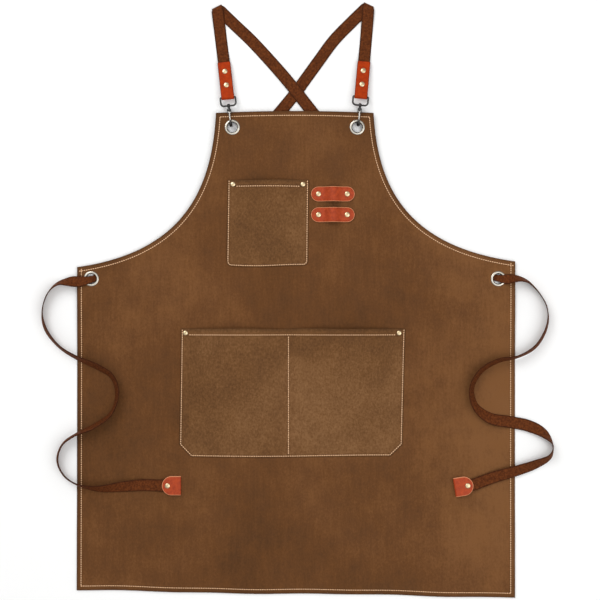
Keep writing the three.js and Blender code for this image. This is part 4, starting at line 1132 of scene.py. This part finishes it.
# ---------------------------------------------------------------- pockets
# Two patch pockets of the same canvas, brushed soft on its face. Each has a turned hem across
# its mouth and is stitched down close to its edge on three sides, and small rivets through
# all the layers take the strain at the mouth's corners. The lower one is stitched into two.
pocket_canvas = waxed_canvas("brushed_canvas", ((0.090, 0.037, 0.011), (0.142, 0.062, 0.020),
                                                (0.218, 0.106, 0.0425)), 0.12, 1.15, 0)
pocket_seam = 2.3
pocket_hem = 10
pocket_strip = 6
divider_strip = 3
small_rivet = (3.7, 1.2, 2.9, 1.2)
rivet_in = (9, 7)
clear_of_rivet = {"mouth": 4.6, "side": 4.4}
flat_side = rivet_in[0] + small_rivet[0] + 0.8
pockets = {
    "chest_pocket": {"x": -42.5, "top": top - 108, "width": 129, "height": 137, "rise": 8,
                     "corner": 8, "divider": None, "lean": (0.8, 0.5, -1.4, -0.8)},
    "lower_pocket": {"x": -4, "top": top - 343.5, "width": 357, "height": 204, "rise": 9,
                     "corner": 19, "divider": -10, "lean": (2.0, 1.0, -1.2, -3.8)},
}


def pocket_gap(pocket, x, y):
    """How far a pocket's front stands off the panel: nothing at its seams, most at its
    mouth."""
    left = pocket["x"] - pocket["width"] / 2 + flat_side
    right = pocket["x"] + pocket["width"] / 2 - flat_side
    divider = pocket["divider"]
    spans = [(left, right)]
    if divider is not None:
        spans = [(left, divider - divider_strip), (divider + divider_strip, right)]
    low = pocket["top"] - pocket["height"] + pocket_strip
    along = (np.asarray(y, float) - low) / (pocket["height"] - pocket_strip)
    gap = 0
    for a, b in spans:
        across = np.clip((2 * np.asarray(x, float) - a - b) / (b - a), -1, 1)
        gap = gap + pocket["rise"] * (1 - across ** 2) ** 1.25 * eased(along, 0, 0.75)
    return gap


def pocket_face(pocket):
    return lambda x, y: cloth_over(x, y) + pocket_gap(pocket, x, y) + cloth + 0.12


def sewn_on(pocket, point):
    """Where hand-set cloth really lands: each corner is sewn a little off square, and the
    bottom sags between them."""
    x, y = point
    across = (x - pocket["x"]) / pocket["width"] + 0.5
    down = (pocket["top"] - y) / pocket["height"]
    upper_left, upper_right, lower_left, lower_right = pocket["lean"]
    shift = ((upper_left * (1 - across) + upper_right * across) * (1 - down)
             + (lower_left * (1 - across) + lower_right * across) * down)
    sag = 1.1 * math.sin(across * 5.6 - 0.4) * down ** 3
    return (x + shift, y - sag)


for name, pocket in pockets.items():
    x, high = pocket["x"], pocket["top"]
    low = high - pocket["height"]
    half = pocket["width"] / 2
    corner = pocket["corner"]
    mouth = [(x + a, high + 0.5 * math.sin(a / 19) * (1 - (a / half) ** 2))
             for a in np.linspace(-half, half, 48)]
    if name == "chest_pocket":
        turn = [math.pi / 2 * k / 8 for k in range(9)]
        right_turn = [(x + half - corner + corner * math.cos(a),
                       low + corner - corner * math.sin(a)) for a in turn]
        left_turn = [(x - half + corner - corner * math.sin(a),
                      low + corner - corner * math.cos(a)) for a in turn]
    else:
        right_turn = [(x + half, low + corner), (x + half - corner, low)]
        left_turn = [(x - half + corner, low), (x - half, low + corner)]
    edges = [mouth, [(x + half, high), right_turn[0]], right_turn,
             [right_turn[-1], left_turn[0]], left_turn, [left_turn[-1], (x - half, high)]]
    edges = [[sewn_on(pocket, p) for p in spaced(edge, 6)] for edge in edges]
    face = pocket_face(pocket)
    divider = pocket["divider"]

    def grooves(px, py, inset, high=high, divider=divider):
        down = high - py
        rows = np.exp(-((inset - pocket_seam) / 0.9) ** 2) * (down > 4)
        rows = rows + np.exp(-((down - pocket_hem) / 0.9) ** 2)
        if divider is not None:
            rows = rows + np.exp(-((px - divider) / 0.9) ** 2) * (down > pocket_hem)
        return np.minimum(rows, 1)

    def over(px, py, inset, face=face, high=high, grooves=grooves):
        band = 0.35 * (1 - eased(high - py, pocket_hem + 1, pocket_hem + 2.2))
        return face(px, py) + band - 0.45 * grooves(px, py, inset)

    def under(px, py, inset, face=face):
        return face(px, py) - cloth

    shape, distances = sewn_sheet(edges, step=3.4, insets=[0.3, 0.9, 1.6, 2.3, 3.0, 4.2],
                                  holes=[], spacing=3.6, over=over, under=under,
                                  edge_radius=0.9)
    sheet = new_piece(f"{name}_front", *moved(shape, in_metres), pocket_canvas,
                      "apron", "pocket_canvas", [name])
    mark_cloth(sheet, distances, grooves)

    outline = closed_outline(edges, 3.0)
    seam = []
    for edge in edges[1:]:
        line = set_in(edge, 0.8, pocket_seam)
        near = inside_of(outline, line[:, 0], line[:, 1]) > pocket_seam - 0.15
        seam += [tuple(p) for p in line[near | (line[:, 1] > high - 5)]]
    rows = {"seam": [seam]}
    rivets = {side: (x + sign * (half - rivet_in[0]), high - rivet_in[1])
              for side, sign in SIDES.items()}
    hem_y = high - pocket_hem
    rows["hem"] = [[(rivets["left"][0] + clear_of_rivet["mouth"], hem_y),
                    (rivets["right"][0] - clear_of_rivet["mouth"], hem_y)]]
    rows["hem"] += [[(px + sign * (rivet_in[0] - pocket_seam), hem_y - 0.4),
                     (px + sign * clear_of_rivet["side"], hem_y - 0.4)]
                    for (px, _), sign in zip(rivets.values(), SIDES.values())]
    if divider is not None:
        rows["divider"] = [[(divider, hem_y - 1.5), (divider, low + pocket_seam + 1)]]
    for row, lines in rows.items():
        stitches = joined([stitch_row([tuple(p) for p in spaced(line, 3)],
                                      lambda a, b: face(a, b) + 0.02) for line in lines])
        new_piece(f"{name}_{row}_stitches", *moved(stitches, in_metres),
                              thread, "apron", "thread", [f"{name}_{row}_thread"])
    for side, (rx, ry) in rivets.items():
        shape = tubular_rivet(*small_rivet, float(cloth_under(rx, ry)), float(face(rx, ry)))
        new_piece(f"{name}_rivet_{side}_set",
                  *moved(shape, in_metres @ Matrix.Translation((rx, ry, 0))),
                  brass, "apron", "rivet", [f"{name}_rivet_{side}"])

# ---------------------------------------------------------------- pen loops
# Two short leather straps with round ends lie one above the other beside the chest pocket. A
# rivet holds each end, and the middle is arched so that a pen or a lead passes under it.
loop_x = 60.3
loop_tops = {"upper": 118.6, "lower": 151.4}
loop_length = 69
loop_width = 23.4
loop_leather = 2
loop_spacing = 45.5
loop_half = 17
loop_rise = 7.5
cap_round = loop_width / 2


def loop_arch(x):
    return loop_rise * math.cos(math.pi * x / (2 * loop_half)) ** 2 if abs(x) < loop_half else 0


loop_half_width, loop_edge = round_ended(cap_round, 0.6)
for row, drop in loop_tops.items():
    y = top - drop - loop_width / 2
    seat = float(np.max(cloth_over(np.array([loop_x - 30, loop_x, loop_x + 30]),
                                   np.array([y + cap_round] * 3)))) + 0.1
    half = loop_length / 2
    straight = half - cap_round
    xs = [-half + cap_round * (1 - math.cos(math.pi / 2 * k / 14)) for k in range(14)]
    xs += list(np.linspace(-straight, straight, 41))
    xs += [-a for a in reversed(xs[:14])]
    path = [(a, loop_arch(a) + loop_leather / 2) for a in xs]
    shape, edge = leather_strip(path, loop_half_width, loop_leather, loop_edge)
    at = Matrix.Translation((loop_x, y, seat)) @ Matrix.Rotation(-math.pi / 2, 4, "Z")
    loop = new_piece(f"{row}_pen_loop", *moved(shape, in_metres @ at), tan_leather,
                     "apron", "leather", [f"{row}_loop"])
    mark(loop, "edge", edge)
    for side, sign in SIDES.items():
        rx = loop_x + sign * loop_spacing / 2
        shape = tubular_rivet(*large_rivet, float(cloth_under(rx, y)), seat + loop_leather)
        new_piece(f"{row}_loop_rivet_{side}_set",
                  *moved(shape, in_metres @ Matrix.Translation((rx, y, 0))),
                  brass, "apron", "rivet", [f"{row}_loop_rivet_{side}"])

# ---------------------------------------------------------------- eyelets
# Rolled nickel eyelets line the holes for the hooks and the straps. Each one's barrel goes
# through the canvas and a flat washer behind, and is rolled over the washer by a press. The
# rim's foot against the canvas and the barrel's inside are painted dark as shade.
nickel = metal("nickel_plate", (0.50, 0.465, 0.40), 0.24, 0.05, (0.72, 0.68, 0.60))
plating = nickel.node_tree
# Painted shade: the plating is mixed to near black where the ring's own marks say.
unshaded_plate = plating.nodes["Principled BSDF"].inputs["Base Color"].links[0].from_socket
set_shader(plating, {"Base Color": blended(plating, kept_value(plating, "hollow_shade"), unshaded_plate,
                                           (0.030, 0.024, 0.018, 1))})
washer_steel = metal("washer_steel", (0.48, 0.47, 0.45), 0.34, 0.04, (0.7, 0.68, 0.65))
barrel = eyelet_hole + 0.6
ring_segments = 48
rolled = 0.62
for name, (x, y) in eyelets.items():
    on = float(cloth_over(x, y)) + 0.05
    back = float(cloth_under(x, y)) - 0.05
    washer_low = back - 0.75
    dome = [(9.9 + 2.1 * math.cos(a), on + 0.2 + 0.85 * math.sin(a))
            for a in (math.radians(15 * k) for k in range(9))]
    neck_in = [(eyelet_hole + 0.5 * (1 - math.sin(a)), on + 0.7 * math.cos(a) - 0.4)
               for a in (math.radians(30 * k) for k in range(1, 4))]
    roll = [(barrel + 0.1 + rolled * math.sin(a), washer_low - 0.1 - 0.35 * (1 + math.cos(a)))
            for a in (math.radians(30 * k) for k in range(7))]
    profile = [(eyelet_flange, on), *dome, *neck_in, (eyelet_hole, washer_low - 0.6), *roll,
               (barrel, washer_low), (barrel, on)]
    at = in_metres @ Matrix.Translation((x, y, 0))
    ring = new_piece(f"{name}_ring", *moved(turned(profile, ring_segments, True), at), nickel,
                     "apron", "eyelet", [name])
    # Painted shade marks: the rim's foot against the canvas, the inside of the hole and the
    # rolled barrel behind.
    mark(ring, "hollow_shade", [
        1.0 if height < on + 0.25 or radius < eyelet_hole + 0.95 else 0.0
        for radius, height in profile for _ in range(ring_segments)])
    plate = turned([(barrel + 0.15, washer_low), (eyelet_flange - 0.3, washer_low),
                    (eyelet_flange, washer_low + 0.2), (eyelet_flange, back - 0.2),
                    (eyelet_flange - 0.3, back), (barrel + 0.15, back)], ring_segments, True)
    new_piece(f"{name}_backing", *moved(plate, at), washer_steel, "apron", "eyelet",
              [f"{name}_washer"])

# ---------------------------------------------------------------- table, light
# The apron lies on a plain pale table, far wider than itself, under soft studio lamps: a key
# beyond the bib to the left, and weaker ones from the right and from overhead.
table = bpy.data.meshes.new("table")
reach = 3.2
table.from_pydata([(-reach, -reach, 0), (reach, -reach, 0), (reach, reach, 0),
                   (-reach, reach, 0)], [], [(0, 1, 2, 3)])
table_top = placed("table_top", table)
table_top.location.z = -0.0002
paper = bpy.data.materials.new("white_paper")
paper.use_nodes = True
set_shader(paper.node_tree, {"Base Color": (0.93, 0.93, 0.925, 1), "Roughness": 0.9})
table.materials.append(paper)


def soft_lamp(name, place, size, power):
    """A square lamp that faces the middle of the apron."""
    lamp = bpy.data.lights.new(name, "AREA")
    lamp.size = size
    lamp.energy = power
    stand = placed(name, lamp)
    stand.location = place
    aim = Vector((0, 0.05, 0)) - stand.location
    stand.rotation_euler = aim.to_track_quat("-Z", "Y").to_euler()


soft_lamp("key_lamp", (-1.3, 1.7, 2.3), 1.7, 40)
soft_lamp("fill_lamp", (1.7, -0.6, 2.4), 2.2, 26)
soft_lamp("top_lamp", (0.2, -0.2, 3.2), 2.6, 20)
world = bpy.data.worlds.new("room")
bpy.context.scene.world = world
world.use_nodes = True
fill_inputs(world.node_tree, world.node_tree.nodes["Background"],
            {"Color": (1, 1, 1, 1), "Strength": 0.5})
bpy.context.scene.view_settings.view_transform = "Standard"
